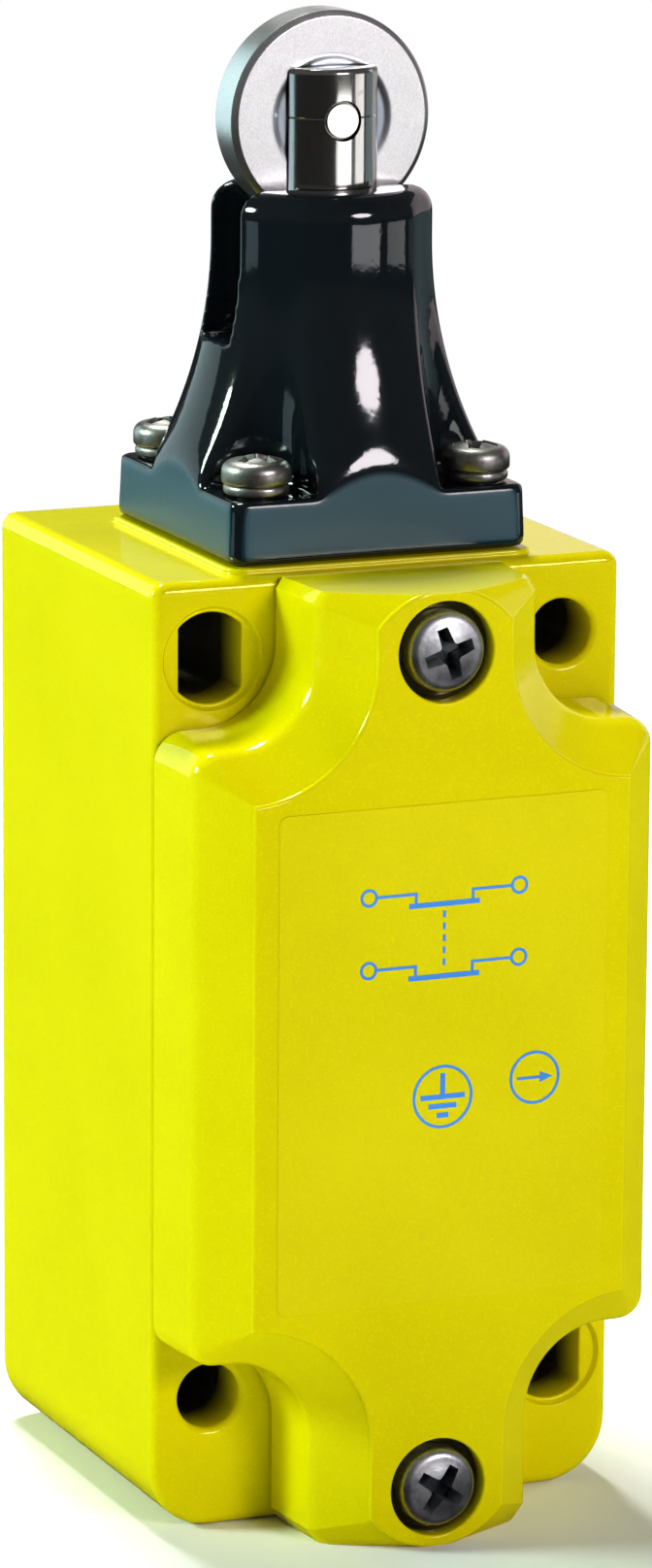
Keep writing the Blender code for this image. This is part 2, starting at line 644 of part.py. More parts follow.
def make_cover(materials, root):
    loops = []
    for rise, inset in cover_levels():
        loops.append([(x, SEAM_Y - rise, z) for x, z in cover_outline(inset)])
    cover = add_piece("cover", loft(loops), materials["yellow_paint"], root)
    ceiling = COVER_RISE - COVER_SKIN
    hollow = []
    for rise, shrink in (
        (-OVERCUT, 0),
        (ceiling - COVER_POCKET_CHAMFER, 0),
        (ceiling, COVER_POCKET_CHAMFER),
    ):
        hollow.append([(x, SEAM_Y - rise, z) for x, z in pocket_outline(-shrink)])
    cut(cover, loft(hollow))
    for side in (1, -1):
        bore = stepped_rod(
            (SCREW_HOLE_RADIUS, -COVER_RISE - OVERCUT),
            (COUNTERBORE_DIA / 2, -COUNTERBORE_DEPTH),
            OVERCUT,
        )
        cut(cover, bore, (0, FACE_Y, COVER_SCREW_Z[side]), FACING_FRONT)

    rim = []
    for grow, y in (
        (GASKET_WIDTH - FIT_GAP, SEAM_Y + GASKET_SINK - JOINT_GAP),
        (GASKET_WIDTH - FIT_GAP, SEAM_Y),
        (FIT_GAP, SEAM_Y),
        (FIT_GAP, SEAM_Y + GASKET_SINK - JOINT_GAP),
    ):
        rim.append([(x, y, z) for x, z in pocket_outline(grow)])
    add_piece("cover_gasket", loft(rim, ring=True), materials["rubber"], root)

    length = SEAM_Y + COVER_SCREW_GRIP - SCREW_SEAT_Y
    zinc = materials["zinc"]
    mesh = screw_mesh(
        COVER_SCREW_HEAD_DIA, COVER_SCREW_HEAD_RISE, length, zinc, COVER_SCREW_SHOULDER
    )
    for name, side, spin in (("top", 1, TOP_SCREW_SPIN), ("bottom", -1, BOTTOM_SCREW_SPIN)):
        turn = FACING_FRONT @ Matrix.Rotation(spin, 4, "Z")
        seat = (0, SCREW_SEAT_Y - JOINT_GAP, COVER_SCREW_Z[side])
        add_mesh(f"cover_screw_{name}", mesh, zinc, root, seat, turn)


def head_screw_places():
    half = HEAD_SCREW_PITCH / 2
    return [(x * half, AXIS_Y + y * half) for x in (-1, 1) for y in (-1, 1)]


def bell():
    """The bell of the head: a round top that flares along an arc down to the base."""
    top, foot = HEAD_TOP_DIA / 2, HEAD_BASE_RISE - OVERCUT
    lean = math.asin(min((FLARE_START - foot) / FLARE_RADIUS, 1))
    profile = [(0, foot)]
    for angle in spread(lean, 0, FLARE_STEPS):
        z = FLARE_START - FLARE_RADIUS * math.sin(angle)
        profile.append((top + FLARE_RADIUS * (1 - math.cos(angle)), z))
    for angle in spread(0, math.pi / 2, CORNER_STEPS - 1):
        inset = HEAD_TOP_EDGE * (1 - math.cos(angle))
        drop = HEAD_TOP_EDGE * (1 - math.sin(angle))
        profile.append((top - inset, HEAD_RISE - drop))
    profile.append((0, HEAD_RISE))
    return turned(profile, 2 * ROUND_STEPS)


def relief(x, y):
    """The upright recess that clears a head screw at one corner of the bell."""
    centre, far = HEAD_SCREW_PITCH / 2, HEAD_BASE
    inner = centre - RELIEF_RADIUS
    outline = [(far, inner), (far, far), (inner, far)]
    outline += corner_arc(centre, centre, RELIEF_RADIUS, 180)
    levels = (HEAD_BASE_RISE - 2 * OVERCUT, HEAD_RISE + OVERCUT)
    return loft([[(x * across, y * along, z) for across, along in outline] for z in levels])


def make_head(materials, root):
    """The black casting: a square base, a bell, and a slot that the roller sinks into."""
    base_half = HEAD_BASE / 2
    place_at = (0, AXIS_Y, HEAD_Z)
    levels = (0, HEAD_RISE + OVERCUT)
    blank = loft([round_square(base_half, HEAD_CORNER_RADIUS, z) for z in levels])
    head = add_piece("head_body", blank, materials["black_paint"], root, place_at)
    wide, tall = HEAD_BASE, HEAD_RISE + 2 * OVERCUT
    around = cut(head, block(-wide, wide, -wide, wide, HEAD_BASE_RISE, tall))
    core = cut(around, bell())

    half = HEAD_SCREW_PITCH / 2
    for x in (-1, 1):
        for y in (-1, 1):
            cut(core, relief(x, y))
            hole = rod(SCREW_HOLE_RADIUS, -OVERCUT, HEAD_BASE_RISE + OVERCUT)
            cut(head, hole, (x * half, y * half, 0))

    slot_half = ROLLER_SLOT_WIDTH / 2
    cut(head, block(-wide, wide, -slot_half, slot_half, ROLLER_SLOT_FLOOR, tall))
    cut(head, rod(PLUNGER_BORE_RADIUS, SEAL_TOP - OVERCUT, tall, ROUND_STEPS))
    cut(head, rod(BUSH_BORE_RADIUS, -OVERCUT, SEAL_TOP, ROUND_STEPS))
    cut(head, rod(CHAMBER_DIA / 2, -OVERCUT, BUSH_FOOT, ROUND_STEPS))

    length = HEAD_SCREW_GRIP + HEAD_BASE_RISE + WASHER_THICKNESS + JOINT_GAP
    zinc = materials["zinc"]
    mesh = screw_mesh(HEAD_SCREW_HEAD_DIA, HEAD_SCREW_HEAD_RISE, length, zinc)
    washer_z = HEAD_Z + HEAD_BASE_RISE + JOINT_GAP
    for across, x in SIDES.items():
        for along, y in DEPTHS.items():
            spot = (x * half, AXIS_Y + y * half, washer_z)
            ring = tube(
                SCREW_HOLE_RADIUS, WASHER_DIA / 2, 0, WASHER_THICKNESS, SMALL_ROUND_STEPS
            )
            add_piece(f"head_washer_{along}_{across}", ring, zinc, root, spot)
            seat = (spot[0], spot[1], washer_z + WASHER_THICKNESS + JOINT_GAP)
            name = f"head_screw_{along}_{across}"
            add_mesh(name, mesh, zinc, root, seat)


def make_head_inside(materials, root):
    """What the head holds: guide bush, wiper seal, spring cup, gasket ring and spring."""
    axis = make_empty("head_axis", (0, AXIS_Y, HEAD_Z), root)
    bush = tube(PLUNGER_BORE_RADIUS, BUSH_DIA / 2, BUSH_FOOT, BUSH_TOP)
    add_piece("guide_bush", bush, materials["brass"], axis)
    seal_foot = BUSH_TOP + JOINT_GAP
    seal = tube(PLUNGER_BORE_RADIUS, BUSH_DIA / 2, seal_foot, seal_foot + SEAL_RISE)
    add_piece("plunger_seal", seal, materials["rubber"], axis)
    hole = STEM_DIA / 2 + FIT_GAP
    inner = CUP_RADIUS - CUP_WALL
    flange, flange_foot = CUP_FLANGE_DIA / 2, CUP_TOP - CUP_FLANGE_RISE
    profile = [(hole, CUP_FOOT), (CUP_RADIUS, CUP_FOOT), (CUP_RADIUS, flange_foot)]
    profile += [(flange, flange_foot), (flange, CUP_TOP), (inner, CUP_TOP)]
    profile += [(inner, CUP_FOOT + CUP_FLOOR), (hole, CUP_FOOT + CUP_FLOOR)]
    cup = turned(profile, ROUND_STEPS, ring=True)
    add_piece("spring_cup", cup, materials["zinc"], axis)
    ring_inner = GASKET_RING_DIA / 2 - GASKET_RING_WIDTH / 2
    ring_foot = -GASKET_RING_RISE
    ring = tube(ring_inner, ring_inner + GASKET_RING_WIDTH, ring_foot, -JOINT_GAP)
    add_piece("head_gasket", ring, materials["rubber"], axis)
    low = CUP_FOOT + CUP_FLOOR + JOINT_GAP
    high = COLLAR_FOOT - JOINT_GAP
    radius = inner - FIT_GAP - RETURN_WIRE / 2
    steel = materials["spring_steel"]
    coil("return_spring", radius, RETURN_WIRE, low, high, RETURN_TURNS, steel, axis)


def make_plunger(materials, root):
    """Plunger, roller and axle. Both empties lie on the axes that the pieces move on."""
    slide = make_empty("plunger_slide", (0, AXIS_Y, HEAD_Z), root)
    spin = make_empty("roller_spin", (0, 0, AXLE_HEIGHT), slide)
    radius, chamfer = PLUNGER_DIA / 2, PLUNGER_CHAMFER
    top = AXLE_HEIGHT + PLUNGER_NOSE
    stem = STEM_DIA / 2
    profile = [(0, STEM_FOOT), (stem - chamfer, STEM_FOOT), (stem, STEM_FOOT + chamfer)]
    profile += [(stem, COLLAR_FOOT), (COLLAR_DIA / 2, COLLAR_FOOT)]
    profile += [(COLLAR_DIA / 2, COLLAR_TOP), (radius, COLLAR_TOP)]
    profile += [(radius, top - chamfer), (radius - chamfer, top), (0, top)]
    steel = materials["steel"]
    plunger = add_piece("plunger", turned(profile, ROUND_STEPS), steel, slide)
    gap = ROLLER_WIDTH / 2 + FIT_GAP
    slot_floor = AXLE_HEIGHT - ROLLER_DIA / 2 - REST_GAP
    wide = PLUNGER_DIA
    cut(plunger, block(-wide, wide, -gap, gap, slot_floor, top + OVERCUT))
    hole = rod(AXLE_DIA / 2 + JOINT_GAP, -wide, wide, SMALL_ROUND_STEPS)
    cut(plunger, hole, (0, 0, AXLE_HEIGHT), FACING_FRONT)

    axle_half = radius - FIT_GAP
    axle = rod(AXLE_DIA / 2, -axle_half, axle_half)
    add_piece("roller_axle", axle, steel, spin, turn=FACING_FRONT)
    bore, rim, half = AXLE_DIA / 2 + JOINT_GAP, ROLLER_DIA / 2, ROLLER_WIDTH / 2
    edge = ROLLER_CHAMFER
    profile = [(bore, -half), (rim - edge, -half), (rim, edge - half), (rim, half - edge)]
    profile += [(rim - edge, half), (bore, half)]
    roller = turned(profile, 2 * ROUND_STEPS, ring=True)
    add_piece("roller", roller, steel, spin, turn=FACING_FRONT)


def make_block(materials, root):
    """The contact block that is open to the front, and its lid."""
    back = AXIS_Y + CHANNEL_HALF
    front = BLOCK_FRONT_Y - OVERCUT
    body = block(-BLOCK_HALF, BLOCK_HALF, BLOCK_FRONT_Y, BLOCK_BACK_Y, BLOCK_BOTTOM, BLOCK_TOP)
    base = add_piece("contact_block", body, materials["plastic"], root)
    tower_y = (AXIS_Y - TOWER_HALF, AXIS_Y + TOWER_HALF)
    tower_z = (TOWER_BOTTOM, BLOCK_BOTTOM + OVERCUT)
    join(base, block(-TOWER_HALF, TOWER_HALF, *tower_y, *tower_z))
    ceiling = BLOCK_TOP + OVERCUT
    cut(base, block(-CHANNEL_HALF, CHANNEL_HALF, front, back, TOWER_TOP, ceiling))
    wide = BLOCK_HALF + OVERCUT
    pocket = BRIDGE_HALF + BRIDGE_ROOM
    pocket_drop = BRIDGE_THICKNESS + BRIDGE_ROOM + PLUNGER_TRAVEL
    for level in CONTACT_Z.values():
        low, high = level + STRIP_FOOT - JOINT_GAP, level + STRIP_TOP + FIT_GAP
        cut(base, block(-pocket, pocket, front, back, level - pocket_drop, high - JOINT_GAP))
        cut(base, block(-wide, wide, front, back, low, high))
        for side in (-1, 1):
            hole = rod(SCREW_HOLE_RADIUS, -TERMINAL_GRIP - OVERCUT, OVERCUT)
            spot = (side * TERMINAL_X, BLOCK_FRONT_Y, level + TERMINAL_RISE)
            cut(base, hole, spot, FACING_FRONT)
    thickness = BLOCK_FRONT + BLOCK_BACK
    length = thickness + BLOCK_SCREW_GRIP
    zinc = materials["zinc"]
    mesh = screw_mesh(TERMINAL_SCREW_HEAD_DIA, TERMINAL_SCREW_HEAD_RISE, length, zinc)
    for name, side in SIDES.items():
        hole = rod(SCREW_HOLE_RADIUS, -thickness - OVERCUT, OVERCUT)
        spot = (side * BLOCK_SCREW_X, BLOCK_FRONT_Y, BLOCK_SCREW_Z)
        cut(base, hole, spot, FACING_FRONT)
        seat = (spot[0], BLOCK_FRONT_Y - JOINT_GAP, BLOCK_SCREW_Z)
        add_mesh(f"block_screw_{name}", mesh, zinc, root, seat, FACING_FRONT)
    lid_half = STRIP_INNER - 2 * FIT_GAP
    lid_y = (BLOCK_FRONT_Y - FIT_GAP - LID_THICKNESS, BLOCK_FRONT_Y - FIT_GAP)
    lid_z = (BLOCK_BOTTOM + BRIDGE_ROOM, BLOCK_TOP - BRIDGE_ROOM)
    lid = block(-lid_half, lid_half, *lid_y, *lid_z)
    add_piece("contact_block_lid", lid, materials["white_plastic"], root)


def make_terminals(materials, root):
    """Fixed contacts, each an angle with its clamp plate and terminal screw."""
    front = BLOCK_FRONT_Y - FIT_GAP
    outer = front - STRIP_THICKNESS
    clamp_back = outer - FIT_GAP
    clamp_front = clamp_back - CLAMP_THICKNESS
    length = BLOCK_FRONT_Y + TERMINAL_GRIP - clamp_front
    zinc = materials["zinc"]
    mesh = screw_mesh(TERMINAL_SCREW_HEAD_DIA, TERMINAL_SCREW_HEAD_RISE, length, zinc)
    back = AXIS_Y + SLIDER_HALF
    for height, level in CONTACT_Z.items():
        low, high = level + STRIP_FOOT, level + STRIP_TOP
        tab = high + STRIP_TAB - STRIP_THICKNESS
        angle = [(back, low), (back, high), (front, high), (front, tab), (outer, tab)]
        angle += [(outer, low)]
        for across, side in SIDES.items():
            name = f"{height}_{across}"
            strip = along_x(angle, side * STRIP_INNER, side * STRIP_OUTER)
            metal = materials["contact_metal"]
            contact = add_piece(f"fixed_contact_{name}", strip, metal, root)
            spot = (side * TERMINAL_X, front, level + TERMINAL_RISE)
            hole = rod(SCREW_HOLE_RADIUS, -OVERCUT, STRIP_THICKNESS + OVERCUT)
            cut(contact, hole, spot, FACING_FRONT)
            x, z, half = spot[0], spot[2], CLAMP_SIDE / 2
            plate = block(x - half, x + half, clamp_front, clamp_back, z - half, z + half)
            clamp = add_piece(f"terminal_clamp_{name}", plate, zinc, root)
            hole = rod(SCREW_HOLE_RADIUS, -OVERCUT, CLAMP_THICKNESS + OVERCUT)
            cut(clamp, hole, (x, clamp_back, z), FACING_FRONT)
            seat = (x, clamp_front - JOINT_GAP, z)
            add_mesh(f"terminal_screw_{name}", mesh, zinc, root, seat, FACING_FRONT)


def make_slider(materials, root):
    """The slider with its two contact bridges, and the springs that load them."""
    slide = make_empty("slider_slide", (0, AXIS_Y, 0), root)
    body = block(
        -SLIDER_HALF, SLIDER_HALF, -SLIDER_HALF, SLIDER_HALF, SLIDER_BOTTOM, SLIDER_TOP
    )
    slider = add_piece("contact_slider", body, materials["white_plastic"], slide)
    wide = SLIDER_HALF + OVERCUT
    half = BRIDGE_THICKNESS / 2
    width = BRIDGE_WIDTH / 2
    inner = BRIDGE_HALF - 2 * BRIDGE_POINT_WIDTH
    outer = inner + BRIDGE_POINT_WIDTH
    outline = [(-BRIDGE_HALF, -half), (BRIDGE_HALF, -half), (BRIDGE_HALF, half)]
    outline += [(outer, half), (outer, BRIDGE_TOP), (inner, BRIDGE_TOP), (inner, half)]
    outline += [(-inner, half), (-inner, BRIDGE_TOP), (-outer, BRIDGE_TOP)]
    outline += [(-outer, half), (-BRIDGE_HALF, half)]
    for height, level in CONTACT_Z.items():
        spring_top = level - half - JOINT_GAP
        spring_foot = spring_top - BRIDGE_SPRING
        window = (spring_foot - JOINT_GAP, level + half + FIT_GAP)
        cut(slider, block(-wide, wide, -WINDOW_HALF, WINDOW_HALF, *window))
        bridge = along_y(outline, -width, width)
        metal = materials["contact_metal"]
        add_piece(f"contact_bridge_{height}", bridge, metal, slide, (0, 0, level))
        coil(
            f"bridge_spring_{height}",
            BRIDGE_COIL_RADIUS,
            BRIDGE_WIRE,
            spring_foot,
            spring_top,
            BRIDGE_TURNS,
            materials["spring_steel"],
            slide,
        )
    axis = make_empty("reset_axis", (0, AXIS_Y, 0), root)
    low, high = TOWER_TOP + JOINT_GAP, SLIDER_BOTTOM - JOINT_GAP
    steel = materials["spring_steel"]
    coil("reset_spring", RESET_COIL_RADIUS, RESET_WIRE, low, high, RESET_TURNS, steel, axis)


def make_earth(materials, root):
    """The earth terminal on its boss, low in the housing."""
    half = CLAMP_SIDE / 2
    back = EARTH_Y - JOINT_GAP
    front = back - CLAMP_THICKNESS
    zinc = materials["zinc"]
    plate = block(EARTH_X - half, EARTH_X + half, front, back, EARTH_Z - half, EARTH_Z + half)
    clamp = add_piece("earth_clamp", plate, zinc, root)
    hole = rod(SCREW_HOLE_RADIUS, -OVERCUT, CLAMP_THICKNESS + OVERCUT)
    cut(clamp, hole, (EARTH_X, back, EARTH_Z), FACING_FRONT)
    length = BLOCK_SCREW_GRIP + CLAMP_THICKNESS + JOINT_GAP
    mesh = screw_mesh(TERMINAL_SCREW_HEAD_DIA, TERMINAL_SCREW_HEAD_RISE, length, zinc)
    seat = (EARTH_X, front - JOINT_GAP, EARTH_Z)
    add_mesh("earth_screw", mesh, zinc, root, seat, FACING_FRONT)


def main():
    clear_scene()
    materials = make_materials()
    root = make_empty("limit_switch", (0, 0, 0))
    make_housing(materials["yellow_paint"], root)
    make_cover(materials, root)
    make_head(materials, root)
    make_head_inside(materials, root)
    make_plunger(materials, root)
    make_block(materials, root)
    make_terminals(materials, root)
    make_slider(materials, root)
    make_earth(materials, root)


main()
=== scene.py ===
"""Fine surfaces and finishes of a roller-plunger limit switch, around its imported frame.

Metres, +Z up, the cover faces -Y. Each piece has an operator, and main() runs them in order.
"""

import json
import math

import bmesh
import bpy
from bpy.props import FloatProperty, FloatVectorProperty, PointerProperty
from mathutils import Matrix, Vector


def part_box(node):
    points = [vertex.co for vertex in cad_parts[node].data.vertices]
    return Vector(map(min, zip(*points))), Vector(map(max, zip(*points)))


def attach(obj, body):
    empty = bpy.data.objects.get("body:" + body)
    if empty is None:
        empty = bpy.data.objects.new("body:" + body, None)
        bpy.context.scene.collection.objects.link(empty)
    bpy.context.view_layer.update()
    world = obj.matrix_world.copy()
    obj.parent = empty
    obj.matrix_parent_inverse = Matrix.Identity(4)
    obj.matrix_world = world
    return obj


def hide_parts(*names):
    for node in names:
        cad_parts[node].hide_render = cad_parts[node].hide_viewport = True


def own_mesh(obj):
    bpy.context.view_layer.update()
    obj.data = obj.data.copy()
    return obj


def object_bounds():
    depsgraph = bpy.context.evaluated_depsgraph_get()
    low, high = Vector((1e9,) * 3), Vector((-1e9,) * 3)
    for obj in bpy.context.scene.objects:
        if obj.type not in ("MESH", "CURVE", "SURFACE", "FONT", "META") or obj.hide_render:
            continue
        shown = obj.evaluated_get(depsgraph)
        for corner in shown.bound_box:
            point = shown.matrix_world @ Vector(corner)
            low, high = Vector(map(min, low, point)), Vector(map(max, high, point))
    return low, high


bl_info = {
    "name": "Limit Switch",
    "version": (1, 0, 0),
    "blender": (4, 5, 0),
    "location": "3D View > Sidebar > Limit Switch",
    "description": "Models and finishes a roller-plunger limit switch around its frame",
    "category": "Object",
}

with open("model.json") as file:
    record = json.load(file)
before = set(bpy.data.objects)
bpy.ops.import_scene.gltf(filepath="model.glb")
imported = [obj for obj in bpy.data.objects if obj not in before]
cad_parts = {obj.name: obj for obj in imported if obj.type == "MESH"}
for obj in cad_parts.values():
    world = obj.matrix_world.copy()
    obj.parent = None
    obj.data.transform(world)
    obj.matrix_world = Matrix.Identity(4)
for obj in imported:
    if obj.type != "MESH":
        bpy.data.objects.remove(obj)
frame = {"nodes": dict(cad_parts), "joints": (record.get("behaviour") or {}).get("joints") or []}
CAD_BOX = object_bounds()

MM = 0.001
OVERCUT = 1 * MM  # how far a cutter stands out of what it cuts
MERGE = 0.0005 * MM
HAIR = 0.01 * MM  # keeps a cutter's edge off the face that it cuts
FACING_FRONT = Matrix.Rotation(math.pi / 2, 4, "X")  # turns +Z to -Y

# Places that the frame gives
HOUSING_LOW, HOUSING_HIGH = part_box("housing")
COVER_LOW, COVER_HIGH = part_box("cover")
HEAD_LOW, HEAD_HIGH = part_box("head_body")
PLUNGER_LOW, PLUNGER_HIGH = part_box("plunger")
ROLLER_LOW, ROLLER_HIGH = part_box("roller")
AXLE_LOW, AXLE_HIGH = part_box("roller_axle")
HALF_WIDTH = HOUSING_HIGH.x
SEAM_Y = HOUSING_LOW.y
BACK_Y = HOUSING_HIGH.y
FACE_Y = COVER_LOW.y
AXIS_Y = (HEAD_LOW.y + HEAD_HIGH.y) / 2
AXLE_Z = (ROLLER_LOW.z + ROLLER_HIGH.z) / 2


def size(label, mm, description):
    """A length that a user may change, given in millimetres."""
    return FloatProperty(
        name=label,
        description=description,
        default=mm * MM,
        min=0,
        precision=5,
        unit="LENGTH",
        subtype="DISTANCE",
    )


def turn(label, degrees, description):
    """An angle that a user may change, given in degrees."""
    return FloatProperty(
        name=label,
        description=description,
        default=math.radians(degrees),
        unit="ROTATION",
        subtype="ANGLE",
    )


def tint(label, colour, description):
    """A linear colour that a user may change."""
    return FloatVectorProperty(
        name=label,
        description=description,
        default=colour,
        size=3,
        min=0,
        max=1,
        subtype="COLOR",
    )


class HousingSizes(bpy.types.PropertyGroup):
    bottom_radius: size("Bottom radius", 5.3, "Radius of the two lower corners")
    top_radius: size("Top radius", 1.2, "Radius of the two upper side edges")
    edge_radius: size("Edge radius", 0.9, "Rounding of the front and back edges")
    seat_rise: size("Seat rise", 0.5, "Height of the pad that carries the head")
    seat_rim: size("Seat rim", 0.4, "How far the pad stands out round the head's base")
    seat_round: size("Seat rounding", 0.2, "Rounding of the pad's foot and edge")
    hole_side: size("Hole side margin", 5, "From the housing's side to a mounting hole's axis")
    hole_foot: size("Hole foot margin", 10.8, "From the foot to the lower holes' axes")
    hole_pitch: size("Hole pitch", 60, "Between the lower and the upper holes")
    hole_dia: size("Hole diameter", 5.3, "Mounting holes")
    hole_mouth: size("Hole mouth", 0.6, "Rounding of the round holes' mouths")
    slot_height: size("Slot height", 7.3, "Height of the slotted holes")
    recess_dia: size("Recess diameter", 8.2, "Shallow recess round a slotted hole")
    recess_depth: size("Recess depth", 0.5, "Depth of that recess")
    rim: size("Seal rim", 3.2, "Wall round the hollow at the seam")
    foot_rim: size("Foot rim", 4.15, "That wall below the hollow")
    pocket_radius: size("Hollow radius", 3, "Corner radius of the hollow")
    back_wall: size("Back wall", 3, "Thickness of the back wall")
    column: size("Hole wall", 2.75, "Wall between a mounting hole and the wiring room")
    conduit_dia: size("Conduit diameter", 18.4, "Cable entry in the foot")
    conduit_setback: size("Conduit setback", 19, "From the seam to the entry's axis")
    conduit_length: size("Conduit length", 9, "Length of the entry's bore")
    conduit_chamfer: size("Conduit chamfer", 0.8, "Chamfer of the entry's mouth")


class CoverSizes(bpy.types.PropertyGroup):
    gap: size("Seam gap", 0.12, "Gap between housing and cover")
    foot_round: size("Foot rounding", 0.22, "Rounding of the cover's edge at the seam")
    draft: size("Draft", 0.35, "How far the wall leans in up to the bevel")
    bevel: size("Bevel", 4, "How far the plateau lies inside the seam's outline")
    edge_radius: size("Edge radius", 2, "Rounding between wall and bevel")
    step: size("Plateau step", 0.35, "Height of the small step round the plateau")
    step_round: size("Step rounding", 0.32, "Rounding of that step's edge")
    upper_ear: size("Upper ear margin", 5.4, "From an upper hole's axis to the ear's edge")
    lower_ear: size("Lower ear margin", 4.45, "From a lower hole's axis to the ear's edge")
    ear_radius: size("Ear radius", 2.5, "Outer corner radius of an ear")
    tab_width: size("Tab width", 19.6, "Width of the upper and lower tabs")
    cut_radius: size("Cut radius", 6.5, "Radius of the cuts round the mounting holes")
    end_radius: size("Tab end radius", 11.5, "Radius of a tab's end at the seam")
    plateau_end: size("Plateau end radius", 6.9, "Radius of a tab's end on the plateau")
    end_drop: size("Tab end drop", 2.25, "From a screw's axis to the centre of the end arc")
    screw_top: size("Upper screw margin", 4.6, "From the top to the upper screw's axis")
    screw_foot: size("Lower screw margin", 4.85, "From the foot to the lower screw's axis")
    bore_dia: size("Counterbore diameter", 8, "Round the cover screws")
    bore_depth: size("Counterbore depth", 1.92, "Below the plateau")
    bore_round: size("Counterbore rounding", 0.22, "Rounding of the counterbore's mouth")
    skin: size("Skin", 3, "Thickness of the plateau over the hollow")


class PrintSizes(bpy.types.PropertyGroup):
    label_width: size("Label width", 28, "Thin film on the plateau")
    label_low: size("Label foot", 20.3, "Height of the film's lower edge")
    label_high: size("Label top", 60.5, "Height of the film's upper edge")
    label_radius: size("Label radius", 0.8, "Corner radius of the film")
    film: size("Film thickness", 0.06, "Thickness of the film")
    ink: size("Ink thickness", 0.02, "Thickness of the print")
    line: size("Line width", 0.24, "Width of the thin printed lines")
    bar: size("Bar width", 0.42, "Width of the heavy printed lines")


class HeadSizes(bpy.types.PropertyGroup):
    base_rise: size("Base height", 5, "Height of the square base")
    base_draft: size("Base draft", 0.15, "How far the base's sides lean in")
    corner: size("Base corner", 1.2, "Corner radius of the base")
    top_dia: size("Top diameter", 17.6, "Diameter of the bell's upper part")
    top_edge: size("Top edge", 2, "Rounding of the bell's top edge")
    flare_start: size("Flare start", 23.8, "Where the bell starts to flare, above its foot")
    flare_radius: size("Flare radius", 37.5, "Radius of the flare")
    screw_pitch: size("Screw pitch", 18.8, "Between the head screws")
    relief: size("Relief radius", 4, "Upright recesses round the screws")
    crest: size("Crest", 1.6, "How broadly the bell rolls into those recesses")
    hump: size("Hump", 0.8, "How broadly the skirt rolls into the base's sides")
    cast_edge: size("Cast edge", 0.35, "Rounding of the base's edges")
    cast_fillet: size("Cast fillet", 0.6, "Fillet between the base and the bell")
    slot_width: size("Slot width", 5.8, "Slot that the roller sinks into")
    slot_floor: size("Slot floor", 15.9, "Height of the slot's floor above the foot")
    bore: size("Bore radius", 4.6, "Passage of the plunger")
    chamber: size("Chamber radius", 7.2, "Room of the return spring")
    grid: size("Surface grid", 0.21, "Grid of the cast surface")


class TrainSizes(bpy.types.PropertyGroup):
    plunger_dia: size("Plunger diameter", 8.8, "Sliding part of the plunger")
    stem_dia: size("Stem diameter", 6, "Lower end of the plunger")
    chamfer: size("Plunger edge", 0.45, "Rounding of the plunger's top edge")
    scribe: size("Scribe width", 0.14, "Fine line round the plunger at the axle")
    scribe_depth: size("Scribe depth", 0.05, "Depth of that line")
    slot_gap: size("Roller gap", 0.2, "Between the roller and the fork")
    axle_gap: size("Axle gap", 0.12, "Round the axle")
    rim_chamfer: size("Roller chamfer", 0.45, "Chamfer of the roller's rim")
    dish_inner: size("Dish start", 3.2, "Inner radius of the turned dish in the roller's face")
    dish_outer: size("Dish end", 5.2, "Outer radius of that dish")
    dish_depth: size("Dish depth", 0.16, "Depth of that dish")
    dish_slope: size("Dish slope", 0.8, "Width of that dish's soft sides")


class ScrewSizes(bpy.types.PropertyGroup):
    shank: size("Shank", 3, "Diameter of every screw's shank")
    cover_dia: size("Cover screw head", 6.4, "Diameter of a cover screw's head")
    cover_rise: size("Cover screw height", 2.6, "Height of a cover screw's head")
    cover_seat: size("Cover screw seat", 1.8, "From the plateau back to a cover screw's seat")
    head_dia: size("Head screw head", 5.5, "Diameter of a head screw's head")
    head_rise: size("Head screw height", 2.2, "Height of a head screw's head")
    arm: size("Cross arm", 1.05, "Width of the cross recess's arms")
    dimple: size("Dimple", 0.32, "Radius of the small mark between two arms")
    upper_turn: turn("Upper cross", 18, "Turn of the upper cover screw")
    lower_turn: turn("Lower cross", 56, "Turn of the lower cover screw")


